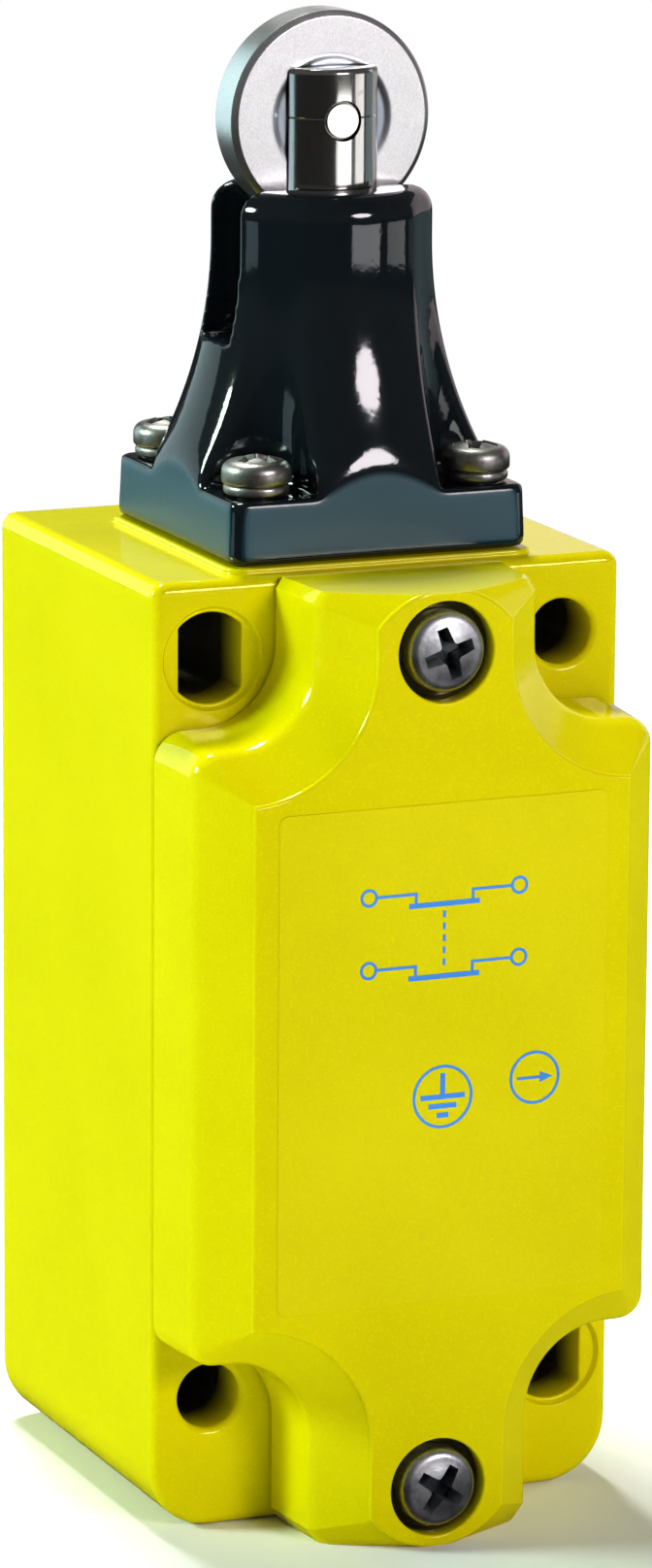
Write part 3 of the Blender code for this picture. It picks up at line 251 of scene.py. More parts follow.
class Finishes(bpy.types.PropertyGroup):
    yellow: tint("Yellow", (0.74, 0.64, 0.0), "Enamel of housing and cover")
    lacquer: tint("Lacquer", (1.0, 0.94, 0.32), "Gloss of the yellow enamel, seen straight on")
    black: tint("Black", (0.004, 0.0065, 0.009), "Enamel of the head")
    # Painted sheen: a teal reflection put into the colour of the matt base sides.
    matt_sheen: tint("Rubbed black", (0.008, 0.056, 0.090), "Matt sides of the head's base")
    # Painted shade: dark olive for the insides of the holes and counterbores.
    hole_shade: tint("Bare casting", (0.040, 0.034, 0.010), "Deep in holes and counterbores")
    # Painted shade: darkens the screws' cross recesses.
    recess_shade: tint("Recess shade", (0.050, 0.060, 0.060), "In the screws' recesses")
    # Painted shade: dark brown along the cover's foot at the seam.
    seam_shade: tint("Seam shade", (0.10, 0.06, 0.01), "In the seam")
    blue: tint("Blue", (0.03, 0.25, 0.83), "Print on the film")
    steel: tint("Steel", (0.63, 0.61, 0.58), "Plunger and axle")
    roller: tint("Roller steel", (0.76, 0.75, 0.76), "Face of the roller")
    hub: tint("Roller hub", (0.34, 0.38, 0.42), "Ring round the roller's axle")
    zinc: tint("Zinc", (0.60, 0.62, 0.64), "Cover screws and inner fittings")
    dull: tint("Dull zinc", (0.36, 0.35, 0.33), "Head screws and washers")
    spring: tint("Spring steel", (0.42, 0.42, 0.43), "Springs")
    brass: tint("Brass", (0.72, 0.52, 0.20), "Guide bush")
    contact: tint("Contact metal", (0.80, 0.70, 0.58), "Contacts and bridges")
    rubber: tint("Rubber", (0.015, 0.015, 0.016), "Gaskets and wiper")
    plastic: tint("Plastic", (0.04, 0.04, 0.045), "Contact block")
    white: tint("White plastic", (0.70, 0.70, 0.66), "Slider and block lid")


# Modelling helpers


def spread(first, last, steps):
    return [first + (last - first) * k / steps for k in range(steps + 1)]


def begin():
    """Clears the selection, so that operators act on new things alone."""
    bpy.ops.object.select_all(action="DESELECT")


def focus(piece):
    begin()
    piece.select_set(True)
    bpy.context.view_layer.objects.active = piece


def named(name):
    piece = bpy.context.active_object
    piece.name = name
    piece.data.name = name
    return piece


def close_up(piece):
    """Merges doubles and turns the faces outwards, then leaves edit mode."""
    bpy.ops.mesh.select_all(action="SELECT")
    bpy.ops.mesh.remove_doubles(threshold=MERGE)
    bpy.ops.mesh.normals_make_consistent(inside=False)
    bpy.ops.object.mode_set(mode="OBJECT")
    return piece


def skin(name, loops):
    """Extrudes a filled circle from outline to outline, all with equally many points."""
    begin()
    bpy.ops.mesh.primitive_circle_add(
        vertices=len(loops[0]), radius=MM, fill_type="NGON", enter_editmode=True
    )
    piece = named(name)
    shape = bmesh.from_edit_mesh(piece.data)
    order = shape.verts.layers.int.new("order")
    shape.verts.ensure_lookup_table()
    for k, corner in enumerate(shape.verts):
        corner[order] = k
        corner.co = loops[0][k]
    for loop in loops[1:]:
        bpy.ops.mesh.extrude_region_move()
        shape = bmesh.from_edit_mesh(piece.data)
        order = shape.verts.layers.int["order"]
        for corner in shape.verts:
            if corner.select:
                corner.co = loop[corner[order]]
    shape.verts.layers.int.remove(order)
    return close_up(piece)


def lathe(name, profile, steps, ring=False):
    """Spins a profile of (radius, height) round Z. A ring's profile closes on itself."""
    begin()
    bpy.ops.mesh.primitive_plane_add(size=MM, enter_editmode=True)
    piece = named(name)
    bpy.ops.mesh.merge(type="CENTER")
    points = [Vector((r, 0, z)) for r, z in profile]
    if ring:
        points.append(points[0])
    shape = bmesh.from_edit_mesh(piece.data)
    for corner in shape.verts:
        corner.co = points[0]
    for point in points[1:]:
        bpy.ops.mesh.extrude_vertices_move()
        shape = bmesh.from_edit_mesh(piece.data)
        for corner in shape.verts:
            if corner.select:
                corner.co = point
    bpy.ops.mesh.select_all(action="SELECT")
    bpy.ops.mesh.spin(steps=steps, angle=2 * math.pi, center=(0, 0, 0), axis=(0, 0, 1))
    return close_up(piece)


def box(name, low, high):
    """A cube set to two corners, its scale applied."""
    begin()
    low, high = Vector(low), Vector(high)
    bpy.ops.mesh.primitive_cube_add(size=1, location=(low + high) / 2)
    piece = named(name)
    piece.scale = high - low
    bpy.ops.object.transform_apply(location=True, rotation=True, scale=True)
    return piece


def put(piece, location, turned=Matrix()):
    """Places a piece in its mesh, with its object left at the origin."""
    piece.data.transform(Matrix.Translation(location) @ turned)
    return piece


def bevel_edges(piece, chosen, width, segments):
    """Bevels the edges that chosen(first corner, second corner) picks."""
    focus(piece)
    bpy.ops.object.mode_set(mode="EDIT")
    bpy.ops.mesh.select_mode(type="EDGE")
    bpy.ops.mesh.select_all(action="DESELECT")
    shape = bmesh.from_edit_mesh(piece.data)
    for edge in shape.edges:
        edge.select_set(chosen(edge.verts[0].co, edge.verts[1].co))
    bmesh.update_edit_mesh(piece.data)
    bpy.ops.mesh.bevel(offset=width, segments=segments, affect="EDGES")
    bpy.ops.mesh.select_mode(type="VERT")
    bpy.ops.object.mode_set(mode="OBJECT")


def combine(piece, operation, *tools):
    """Applies a Boolean with each tool in turn, and removes the tool."""
    focus(piece)
    for tool in tools:
        bpy.ops.object.modifier_add(type="BOOLEAN")
        change = piece.modifiers[-1]
        change.operation = operation
        change.solver = "EXACT"
        change.object = tool
        bpy.ops.object.modifier_apply(modifier=change.name)
        mesh = tool.data
        bpy.data.objects.remove(tool)
        bpy.data.meshes.remove(mesh)
    return piece


def cut(piece, *tools):
    return combine(piece, "DIFFERENCE", *tools)


def smooth(piece, degrees=32):
    """Smooth shading up to an angle, with flat faces kept flat beside their bevels."""
    focus(piece)
    bpy.ops.object.shade_smooth_by_angle(angle=math.radians(degrees))
    bpy.ops.object.modifier_add(type="WEIGHTED_NORMAL")
    piece.modifiers[-1].keep_sharp = True
    bpy.ops.object.modifier_apply(modifier=piece.modifiers[-1].name)


def dress(piece, material, body, slot, *nodes):
    """Gives a finished piece its material, its body and the nodes that it stands for."""
    piece.data.materials.clear()
    piece.data.materials.append(material)
    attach(piece, body)
    if nodes:
        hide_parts(*nodes)


def copy_of(piece, name, location, turned=Matrix()):
    """A copy with its own mesh, placed in that mesh."""
    mesh = piece.data.copy()
    mesh.name = name
    made = bpy.data.objects.new(name, mesh)
    bpy.context.scene.collection.objects.link(made)
    return put(made, location, turned)


def remove(piece):
    mesh = piece.data
    bpy.data.objects.remove(piece)
    bpy.data.meshes.remove(mesh)


# Outlines


def corner_arc(cx, cy, radius, first, steps):
    angles = spread(math.radians(first), math.radians(first + 90), steps)
    return [(cx + radius * math.cos(a), cy + radius * math.sin(a)) for a in angles]


def round_rectangle(half, bottom, top, radius, steps=8):
    low, high = bottom + radius, top - radius
    return (
        corner_arc(half - radius, low, radius, 270, steps)
        + corner_arc(half - radius, high, radius, 0, steps)
        + corner_arc(radius - half, high, radius, 90, steps)
        + corner_arc(radius - half, low, radius, 180, steps)
    )


def round_square(half, radius, z, steps=8):
    return [(x, y, z) for x, y in round_rectangle(half, -half, half, radius, steps)]


def mouth(radius, rounding, steps=5):
    """(radius, height) round the edge of a bore, ending a hair above the face at height 0."""
    points = []
    for angle in spread(0, math.pi / 2, steps):
        out = rounding * (1 - math.cos(angle))
        points.append((radius + out, rounding * (math.sin(angle) - 1) + HAIR))
    return points


def bore(name, radius, rounding, depth, steps=64):
    """A cutter for a bore with a rounded mouth at height 0."""
    profile = [(0, -depth), (radius, -depth), *mouth(radius, rounding)]
    profile += [(radius + rounding, OVERCUT), (0, OVERCUT)]
    return lathe(name, profile, steps)


def rod(name, radius, low, high, steps=48):
    return lathe(name, [(0, low), (radius, low), (radius, high), (0, high)], steps)


def housing_top():
    return HOUSING_HIGH.z - bpy.context.scene.switch_housing.seat_rise


def hole_places():
    """(side, height) of the slotted and of the round mounting holes."""
    sizes = bpy.context.scene.switch_housing
    x = HALF_WIDTH - sizes.hole_side
    low, high = sizes.hole_foot, sizes.hole_foot + sizes.hole_pitch
    return [(-x, high), (x, low)], [(-x, low), (x, high)]


def ear_height(side):
    """Height of an ear's edge, above (1) or below (-1)."""
    sizes, cover = bpy.context.scene.switch_housing, bpy.context.scene.switch_cover
    if side > 0:
        return sizes.hole_foot + sizes.hole_pitch - cover.upper_ear
    return sizes.hole_foot + cover.lower_ear


def cover_screw_height(side):
    sizes = bpy.context.scene.switch_cover
    return housing_top() - sizes.screw_top if side > 0 else sizes.screw_foot


def pocket_outline(grow):
    """The rim of the hollow behind the cover, moved outwards by grow."""
    sizes = bpy.context.scene.switch_housing
    return round_rectangle(
        HALF_WIDTH - sizes.rim + grow,
        ear_height(-1) + sizes.foot_rim - grow,
        ear_height(1) - sizes.rim + grow,
        sizes.pocket_radius + grow,
    )


def cover_quarter(inset, side):
    """The right half of the cover's edge above (1) or below (-1), from ear to tab end."""
    sizes = bpy.context.scene.switch_cover
    half = HALF_WIDTH - inset
    tab = sizes.tab_width / 2 - inset
    cut_x = sizes.tab_width / 2 + sizes.cut_radius
    cut_z = ear_height(side) + side * sizes.cut_radius
    cut_radius = sizes.cut_radius + inset
    first = math.asin(max(cut_x - half, 0) / cut_radius)
    radius = max(sizes.ear_radius - inset, 0.02 * MM)
    ear_z = cut_z - side * cut_radius * math.cos(first)
    points = []
    for angle in spread(0, math.pi / 2, 8):
        x = half - radius * (1 - math.cos(angle))
        points.append((x, ear_z - side * radius * (1 - math.sin(angle))))
    for angle in spread(first, math.pi / 2, 20)[1:]:
        x = cut_x - cut_radius * math.sin(angle)
        points.append((x, cut_z - side * cut_radius * math.cos(angle)))
    share = inset / (sizes.bevel + sizes.step_round)
    end_radius = sizes.end_radius + (sizes.plateau_end - sizes.end_radius) * share
    centre = cover_screw_height(side) - side * sizes.end_drop
    end = housing_top() if side > 0 else 0.0
    last = math.acos(min(abs(end - centre) / end_radius, 1))
    start = max(math.asin(min(tab / end_radius, 1)), last)
    for angle in spread(start, last, 14):
        x = min(end_radius * math.sin(angle), tab)
        points.append((x, centre + side * end_radius * math.cos(angle)))
    return points


def cover_outline(inset):
    """The cover's edge, moved inwards by inset, anticlockwise as seen from the front."""
    above, below = cover_quarter(inset, 1), cover_quarter(inset, -1)
    return (
        above
        + [(-x, z) for x, z in reversed(above)]
        + [(-x, z) for x, z in below]
        + list(reversed(below))
    )


def cover_levels():
    """(rise above the seam, inset) up the cover's flank: foot, wall, edge, bevel and step."""
    sizes = bpy.context.scene.switch_cover
    rise = SEAM_Y - FACE_Y
    levels = []
    for angle in spread(0, math.pi / 2, 3):
        lift = sizes.foot_round * (1 - math.cos(angle))
        levels.append((sizes.gap + lift, sizes.foot_round * (1 - math.sin(angle))))
    bevel_top = rise - sizes.step
    bevel_foot = bevel_top - (sizes.bevel - sizes.draft)
    start = bevel_foot - sizes.edge_radius * math.tan(math.pi / 8)
    for angle in spread(0, math.pi / 4, 7):
        lift = sizes.edge_radius * math.sin(angle)
        inset = sizes.edge_radius * (1 - math.cos(angle))
        levels.append((start + lift, sizes.draft + inset))
    levels.append((bevel_top, sizes.bevel))
    for angle in spread(0, math.pi / 2, 4):
        drop = sizes.step_round * (1 - math.sin(angle))
        inset = sizes.step_round * (1 - math.cos(angle))
        levels.append((rise - drop, sizes.bevel + inset))
    return levels


def polar_square(half, radius, angle):
    """Reach of a rounded square along an angle."""
    near, far = sorted((abs(math.sin(angle)), abs(math.cos(angle))))
    core = half - radius
    if half * near <= core * far:
        return half / far
    along = core * (near + far)
    return along + math.sqrt(max(along**2 - 2 * core**2 + radius**2, 0))


def polar_relief(centre, radius, angle):
    """Reach to the upright wall that clears a screw at a corner."""
    near, far = sorted((abs(math.sin(angle)), abs(math.cos(angle))))
    straight = (centre - radius) / max(near, MERGE)
    if straight * far >= centre:
        return straight
    along = centre * (near + far)
    return along - math.sqrt(max(along**2 - 2 * centre**2 + radius**2, 0))


def soft_min(first, second, blend):
    """The smaller of two lengths, eased where they come close."""
    share = max(blend - abs(first - second), 0) / blend
    return min(first, second) - share**2 * blend / 4


def bell_reach(sizes, z, angle, inset=0):
    """Reach of the round bell, eased into the screws' reliefs and the base's sides."""
    lean = math.asin(min(max(sizes.flare_start - z, 0) / sizes.flare_radius, 1))
    reach = sizes.top_dia / 2 + sizes.flare_radius * (1 - math.cos(lean)) - inset
    wall = polar_relief(sizes.screw_pitch / 2, sizes.relief, angle)
    half = (HEAD_HIGH.x - HEAD_LOW.x) / 2 - sizes.base_draft
    side = polar_square(half, sizes.corner, angle)
    return soft_min(soft_min(reach, wall, sizes.crest), side, sizes.hump)


def head_profile(sizes, angle):
    """(reach, height) from the middle of the head's foot up to its top, along one angle."""
    half, rise = (HEAD_HIGH.x - HEAD_LOW.x) / 2, HEAD_HIGH.z - HEAD_LOW.z
    step, edge = sizes.base_rise, sizes.cast_edge
    foot = polar_square(half, sizes.corner, angle)
    shoulder = polar_square(half - sizes.base_draft, sizes.corner, angle)
    skirt = bell_reach(sizes, step, angle)
    room = max(shoulder - skirt, 0) / 2
    edge_there, fillet = min(edge, room), min(sizes.cast_fillet, room)
    points = [(foot - edge, 0), (foot, edge)]
    for share in spread(0, 1, 3)[1:]:
        low, high = edge, step - edge_there
        points.append((foot + (shoulder - foot) * share, low + (high - low) * share))
    for turned in spread(0, math.pi / 2, 4)[1:]:
        inset = edge_there * (1 - math.cos(turned))
        points.append((shoulder - inset, step - edge_there * (1 - math.sin(turned))))
    start = bell_reach(sizes, step + fillet, angle)
    for turned in spread(0, math.pi / 2, 5):
        out = fillet * (1 - math.sin(turned))
        points.append((start + out, step + fillet * (1 - math.cos(turned))))
    top = rise - sizes.top_edge
    for z in spread(step + fillet, top, 44)[1:]:
        points.append((bell_reach(sizes, z, angle), z))
    for turned in spread(0, math.pi / 2, 8)[1:]:
        z = top + sizes.top_edge * math.sin(turned)
        inset = sizes.top_edge * (1 - math.cos(turned))
        points.append((bell_reach(sizes, z, angle, inset), z))
    return points


# Shader helpers


def add_node(tree, kind, values=None, **settings):
    """A node with its settings, and its sockets set or linked by name or number."""
    made = tree.nodes.new(kind)
    for key, value in settings.items():
        setattr(made, key, value)
    for key, value in (values or {}).items():
        if isinstance(value, bpy.types.NodeSocket):
            tree.links.new(value, made.inputs[key])
        else:
            made.inputs[key].default_value = value
    return made


def new_group(name, inputs, outputs):
    """A shader group with plain number sockets, returned with its two ends."""
    tree = bpy.data.node_groups.new(name, "ShaderNodeTree")
    for label, value in inputs.items():
        socket = tree.interface.new_socket(
            label, in_out="INPUT", socket_type="NodeSocketFloat"
        )
        socket.default_value = value
    for label in outputs:
        tree.interface.new_socket(label, in_out="OUTPUT", socket_type="NodeSocketFloat")
    return tree, tree.nodes.new("NodeGroupInput"), tree.nodes.new("NodeGroupOutput")


def noise(tree, scale, detail, vector=None):
    """Noise on Object coordinates, or on the vector that is given."""
    if vector is None:
        vector = add_node(tree, "ShaderNodeTexCoord").outputs["Object"]
    values = {"Vector": vector, "Scale": scale, "Detail": detail}
    return add_node(tree, "ShaderNodeTexNoise", values).outputs["Fac"]


def remap(tree, value, low, high, to_low=0.0, to_high=1.0):
    values = {
        "Value": value,
        "From Min": low,
        "From Max": high,
        "To Min": to_low,
        "To Max": to_high,
    }
    return add_node(tree, "ShaderNodeMapRange", values).outputs["Result"]


def math_node(tree, operation, first, second):
    made = add_node(tree, "ShaderNodeMath", {0: first, 1: second}, operation=operation)
    return made.outputs[0]


def mix_colour(tree, share, first, second):
    made = add_node(tree, "ShaderNodeMix", {0: share, 6: first, 7: second}, data_type="RGBA")
    return made.outputs[2]


def peel_group():
    """The soft ripple of thick enamel, its slow drift of tone and its small nibs."""
    if "Enamel peel" in bpy.data.node_groups:
        return bpy.data.node_groups["Enamel peel"]
    inputs = {"Scale": 900.0}
    tree, source, result = new_group("Enamel peel", inputs, ("Height", "Drift", "Nibs"))
    scale = source.outputs["Scale"]
    fine = noise(tree, scale, 1.0)
    broad = noise(tree, math_node(tree, "MULTIPLY", scale, 0.3), 1.0)
    tiny = noise(tree, math_node(tree, "MULTIPLY", scale, 2.6), 0.0)
    nibs = remap(tree, tiny, 0.60, 0.74)
    ripple = math_node(tree, "ADD", fine, math_node(tree, "MULTIPLY", broad, 1.6))
    lumps = math_node(tree, "ADD", ripple, math_node(tree, "MULTIPLY", nibs, 0.12))
    tree.links.new(lumps, result.inputs["Height"])
    tree.links.new(remap(tree, noise(tree, 60.0, 2.0), 0.3, 0.7), result.inputs["Drift"])
    tree.links.new(nibs, result.inputs["Nibs"])
    return tree


def grain_group():
    """Speckle, pits and rub streaks of unplated or plated metal."""
    if "Metal grain" in bpy.data.node_groups:
        return bpy.data.node_groups["Metal grain"]
    inputs = {"Scale": 4000.0, "Stretch": 1.0}
    tree, source, result = new_group("Metal grain", inputs, ("Grain", "Streaks", "Pits"))
    place = add_node(tree, "ShaderNodeTexCoord").outputs["Object"]
    stretch = add_node(tree, "ShaderNodeCombineXYZ", {0: 1.0, 1: 1.0})
    tree.links.new(source.outputs["Stretch"], stretch.inputs[2])
    along = add_node(
        tree, "ShaderNodeVectorMath", {0: place, 1: stretch.outputs[0]}, operation="MULTIPLY"
    ).outputs[0]
    scale = source.outputs["Scale"]
    tree.links.new(noise(tree, scale, 2.0, along), result.inputs["Grain"])
    coarse = math_node(tree, "MULTIPLY", scale, 0.12)
    streaks = remap(tree, noise(tree, coarse, 3.0, along), 0.35, 0.7)
    tree.links.new(streaks, result.inputs["Streaks"])
    pits = remap(tree, noise(tree, math_node(tree, "MULTIPLY", scale, 0.5), 1.0), 0.66, 0.74)
    tree.links.new(pits, result.inputs["Pits"])
    return tree


def place_parts(tree, offset):
    """X, Y and Z of the Object coordinates, measured from a place."""
    place = add_node(tree, "ShaderNodeTexCoord").outputs["Object"]
    values = {0: place, 1: offset}
    moved = add_node(tree, "ShaderNodeVectorMath", values, operation="SUBTRACT").outputs[0]
    return add_node(tree, "ShaderNodeSeparateXYZ", {0: moved}).outputs


def length_of(tree, first, second):
    """Distance from an axis, by two coordinates across it."""
    away = add_node(tree, "ShaderNodeCombineXYZ", {0: first, 1: second}).outputs[0]
    return add_node(tree, "ShaderNodeVectorMath", {0: away}, operation="LENGTH").outputs["Value"]


def casting_group():
    """Where the enamel is painted darker: painted shade deep in the mounting holes and counterbores, and
    a painted shade line along the seam.
    """
    if "Casting places" in bpy.data.node_groups:
        return bpy.data.node_groups["Casting places"]
    tree, _, result = new_group("Casting places", {}, ("Shaded", "Seam"))
    holes, cover = bpy.context.scene.switch_housing, bpy.context.scene.switch_cover
    gap = cover.gap
    middle = holes.hole_foot + holes.hole_pitch / 2
    x, y, z = place_parts(tree, (0, SEAM_Y, middle))
    aside = math_node(tree, "SUBTRACT", math_node(tree, "ABSOLUTE", x, 0), HALF_WIDTH - holes.hole_side)
    above = math_node(tree, "SUBTRACT", math_node(tree, "ABSOLUTE", z, 0), holes.hole_pitch / 2)
    reach = length_of(tree, aside, above)
    # Painted shade: inside the mounting holes, darker with depth.
    near = math_node(tree, "LESS_THAN", reach, holes.slot_height / 2 + 0.1 * MM)
    deep = remap(tree, y, 0.7 * MM, 5 * MM)
    within = math_node(tree, "LESS_THAN", y, BACK_Y - SEAM_Y - 0.2 * MM)
    hole_shade = math_node(tree, "MULTIPLY", near, math_node(tree, "MULTIPLY", deep, within))
    before = math_node(tree, "LESS_THAN", y, -gap / 2)
    # Painted shade: deep in the counterbores round the cover screws.
    sunk = remap(tree, y, FACE_Y - SEAM_Y + 0.3 * MM, FACE_Y - SEAM_Y + 1.7 * MM)
    sunk = math_node(tree, "MULTIPLY", sunk, before)
    for side in (1, -1):
        level = math_node(tree, "SUBTRACT", z, cover_screw_height(side) - middle)
        reach = length_of(tree, x, level)
        near = math_node(tree, "LESS_THAN", reach, cover.bore_dia / 2 + 0.1 * MM)
        hole_shade = math_node(tree, "MAXIMUM", hole_shade, math_node(tree, "MULTIPLY", near, sunk))
    tree.links.new(hole_shade, result.inputs["Shaded"])
    # Painted shade: a thin band on the cover's foot just in front of the seam.
    low = remap(tree, y, -gap - 0.2 * MM, -gap - 0.08 * MM)
    tree.links.new(math_node(tree, "MULTIPLY", before, low), result.inputs["Seam"])
    return tree


def base_group():
    """Where the sides of the head's square base are: matt there, with a painted sheen in the colour."""
    if "Base sides" in bpy.data.node_groups:
        return bpy.data.node_groups["Base sides"]
    tree, _, result = new_group("Base sides", {}, ("Matt sheen",))
    x, y, z = place_parts(tree, (0, AXIS_Y, HEAD_LOW.z))
    across, along = (math_node(tree, "ABSOLUTE", part, 0) for part in (x, y))
    half = (HEAD_HIGH.x - HEAD_LOW.x) / 2
    side = remap(
        tree, math_node(tree, "MAXIMUM", across, along), half - 0.24 * MM, half - 0.15 * MM
    )
    inner = remap(
        tree, math_node(tree, "MINIMUM", across, along), half - 0.7 * MM, half - 1.2 * MM
    )
    above = remap(tree, z, 0.4 * MM, 0.8 * MM)
    matt_sheen = math_node(tree, "MULTIPLY", side, math_node(tree, "MULTIPLY", inner, above))
    tree.links.new(matt_sheen, result.inputs["Matt sheen"])
    return tree


def new_material(name, colour):
    """A material and its tree, with the Principled shader's plain colour set for the view."""
    material = bpy.data.materials.new(name)
    material.use_nodes = True
    material.diffuse_color = (*colour, 1)
    return material, material.node_tree, material.node_tree.nodes["Principled BSDF"]


def place_group(tree, group, values):
    made = add_node(tree, "ShaderNodeGroup", node_tree=group)
    for label, value in values.items():
        made.inputs[label].default_value = value
    return made.outputs


def shade(colour, factor):
    return (*(min(part * factor, 1) for part in colour), 1)


def add_bump(tree, shader, height, distance):
    made = add_node(tree, "ShaderNodeBump", {"Height": height, "Distance": distance})
    tree.links.new(made.outputs["Normal"], shader.inputs["Normal"])


def enamel(name, colour, roughness, scale, ripple, gloss, lacquer=(1, 1, 1)):
    """Stoved enamel: a slow drift of tone, orange peel and small nibs."""
    material, tree, shader = new_material(name, colour)
    peel = place_group(tree, peel_group(), {"Scale": scale})
    base = mix_colour(tree, peel["Drift"], shade(colour, 0.96), shade(colour, 1.04))
    specks = math_node(tree, "MULTIPLY", peel["Nibs"], 0.3)
    speckled = mix_colour(tree, specks, base, shade(colour, 1.22))
    tree.links.new(speckled, shader.inputs["Base Color"])
    rough = remap(tree, peel["Drift"], 0.0, 1.0, roughness * 0.85, roughness * 1.15)
    tree.links.new(rough, shader.inputs["Roughness"])
    add_bump(tree, shader, peel["Height"], ripple)
    shader.inputs["Specular IOR Level"].default_value = gloss
    shader.inputs["Specular Tint"].default_value = (*lacquer, 1)
    return material


def metal(name, colour, roughness, scale, stretch, depth, contrast=0.12, pits=0.3, rub=0.28):
    """Unplated or plated metal: speckled tone, rub streaks and small pits."""
    material, tree, shader = new_material(name, colour)
    grain = place_group(tree, grain_group(), {"Scale": scale, "Stretch": stretch})
    low, high = shade(colour, 1 - contrast), shade(colour, 1 + contrast)
    tone = remap(tree, grain["Grain"], 0.3, 0.7)
    base = mix_colour(tree, tone, low, high)
    pitted = mix_colour(tree, math_node(tree, "MULTIPLY", grain["Pits"], pits), base, shade(colour, 0.5))
    tree.links.new(pitted, shader.inputs["Base Color"])
    rough = remap(tree, grain["Streaks"], 0.0, 1.0, roughness * (1 - rub), roughness * (1 + rub))
    tree.links.new(rough, shader.inputs["Roughness"])
    shader.inputs["Metallic"].default_value = 1.0
    add_bump(tree, shader, grain["Grain"], depth)
    return material


def moulded(name, colour, roughness, scale, depth):
    """Moulded plastic or rubber with a fine grain."""
    material, tree, shader = new_material(name, colour)
    peel = place_group(tree, peel_group(), {"Scale": scale})
    base = mix_colour(tree, peel["Drift"], shade(colour, 0.9), shade(colour, 1.1))
    tree.links.new(base, shader.inputs["Base Color"])
    rough = remap(tree, peel["Drift"], 0.0, 1.0, roughness * 0.9, roughness * 1.1)
    tree.links.new(rough, shader.inputs["Roughness"])
    add_bump(tree, shader, peel["Height"], depth)
    return material


def finish(name, make, *values):
    """The material of that name, made the first time that it is asked for."""
    return bpy.data.materials.get(name) or make(name, *values)


def yellow_casting(name):
    """Yellow enamel with painted shade deep in the mounting holes and counterbores, and along the seam.
    """
    paint = colours()
    material = enamel(name, paint.yellow, 0.11, 2000.0, 0.010 * MM, 0.45, paint.lacquer)
    tree = material.node_tree
    shader = tree.nodes["Principled BSDF"]
    places = place_group(tree, casting_group(), {})
    painted = shader.inputs["Base Color"].links[0].from_socket
    # Painted shade in the holes and counterbores, then along the seam.
    hole_shade = mix_colour(tree, places["Shaded"], painted, (*colours().hole_shade, 1))
    seam_shaded = mix_colour(tree, places["Seam"], hole_shade, (*colours().seam_shade, 1))
    tree.links.new(seam_shaded, shader.inputs["Base Color"])
    return material


def yellow_enamel():
    return finish("yellow_enamel", yellow_casting)


def black_casting(name):
    """Glossy black enamel, matt on the sides of the base, where a teal sheen is painted into the colour.
    """
    material = enamel(name, colours().black, 0.07, 900.0, 0.010 * MM, 0.5)
    tree = material.node_tree
    shader = tree.nodes["Principled BSDF"]
    matt_sheen = place_group(tree, base_group(), {})["Matt sheen"]
    glossy = shader.inputs["Roughness"].links[0].from_socket
    rough = add_node(tree, "ShaderNodeMix", {0: matt_sheen, 2: glossy, 3: 0.34}).outputs[0]
    tree.links.new(rough, shader.inputs["Roughness"])
    # Painted sheen: the matt sides take a teal colour that stands in for reflection.
    deep = shader.inputs["Base Color"].links[0].from_socket
    sheened = mix_colour(tree, matt_sheen, deep, (*colours().matt_sheen, 1))
    tree.links.new(sheened, shader.inputs["Base Color"])
    return material


def black_enamel():
    return finish("black_enamel", black_casting)


def label_film():
    paint = colours()
    surface = (0.20, 2600.0, 0.016 * MM, 0.26)
    return finish("label_film", enamel, paint.yellow, *surface, paint.lacquer)


def blue_ink():
    return finish("blue_ink", moulded, colours().blue, 0.4, 2500.0, 0.004 * MM)


def polished_steel():
    return finish("polished_steel", metal, colours().steel, 0.14, 2500.0, 0.15, 0.002 * MM, 0.05)


def hub_group():
    """Where the roller's hub is, a darker ring round the axle."""
    if "Roller hub" in bpy.data.node_groups:
        return bpy.data.node_groups["Roller hub"]
    tree, _, result = new_group("Roller hub", {}, ("Hub",))
    x, _, z = place_parts(tree, (0, 0, AXLE_Z))
    reach = length_of(tree, x, z)
    edge = bpy.context.scene.switch_train.dish_outer
    hub = remap(tree, reach, edge - 0.5 * MM, edge + 0.1 * MM, 1.0, 0.0)
    tree.links.new(hub, result.inputs["Hub"])
    return tree


def turned_roller(name):
    """Satin steel with a darker hub."""
    material = metal(name, colours().roller, 0.32, 8000.0, 1.0, 0.005 * MM, 0.12, 0.1, 0.05)
    tree = material.node_tree
    shader = tree.nodes["Principled BSDF"]
    hub = place_group(tree, hub_group(), {})["Hub"]
    face = shader.inputs["Base Color"].links[0].from_socket
    ringed = mix_colour(tree, hub, face, (*colours().hub, 1))
    tree.links.new(ringed, shader.inputs["Base Color"])
    return material


def satin_steel():
    return finish("satin_steel", turned_roller)


def recess_shaded_zinc(name, colour, roughness):
    """Plated steel with painted shade, dark where the mesh's recess attribute says so."""
    material = metal(name, colour, roughness, 2600.0, 1.0, 0.012 * MM, 0.14)
    tree = material.node_tree
    shader = tree.nodes["Principled BSDF"]
    # Painted shade: darker towards the floor of the cross recess.
    deep = add_node(tree, "ShaderNodeAttribute", attribute_name="recess").outputs["Fac"]
    unshaded = shader.inputs["Base Color"].links[0].from_socket
    tree.links.new(
        mix_colour(tree, deep, unshaded, (*colours().recess_shade, 1)), shader.inputs["Base Color"]
    )
    return material


def worn_zinc():
    return finish("worn_zinc", recess_shaded_zinc, colours().zinc, 0.42)


def dull_zinc():
    return finish("dull_zinc", recess_shaded_zinc, colours().dull, 0.34)


def colours():
    return bpy.context.scene.switch_finishes


# Operators


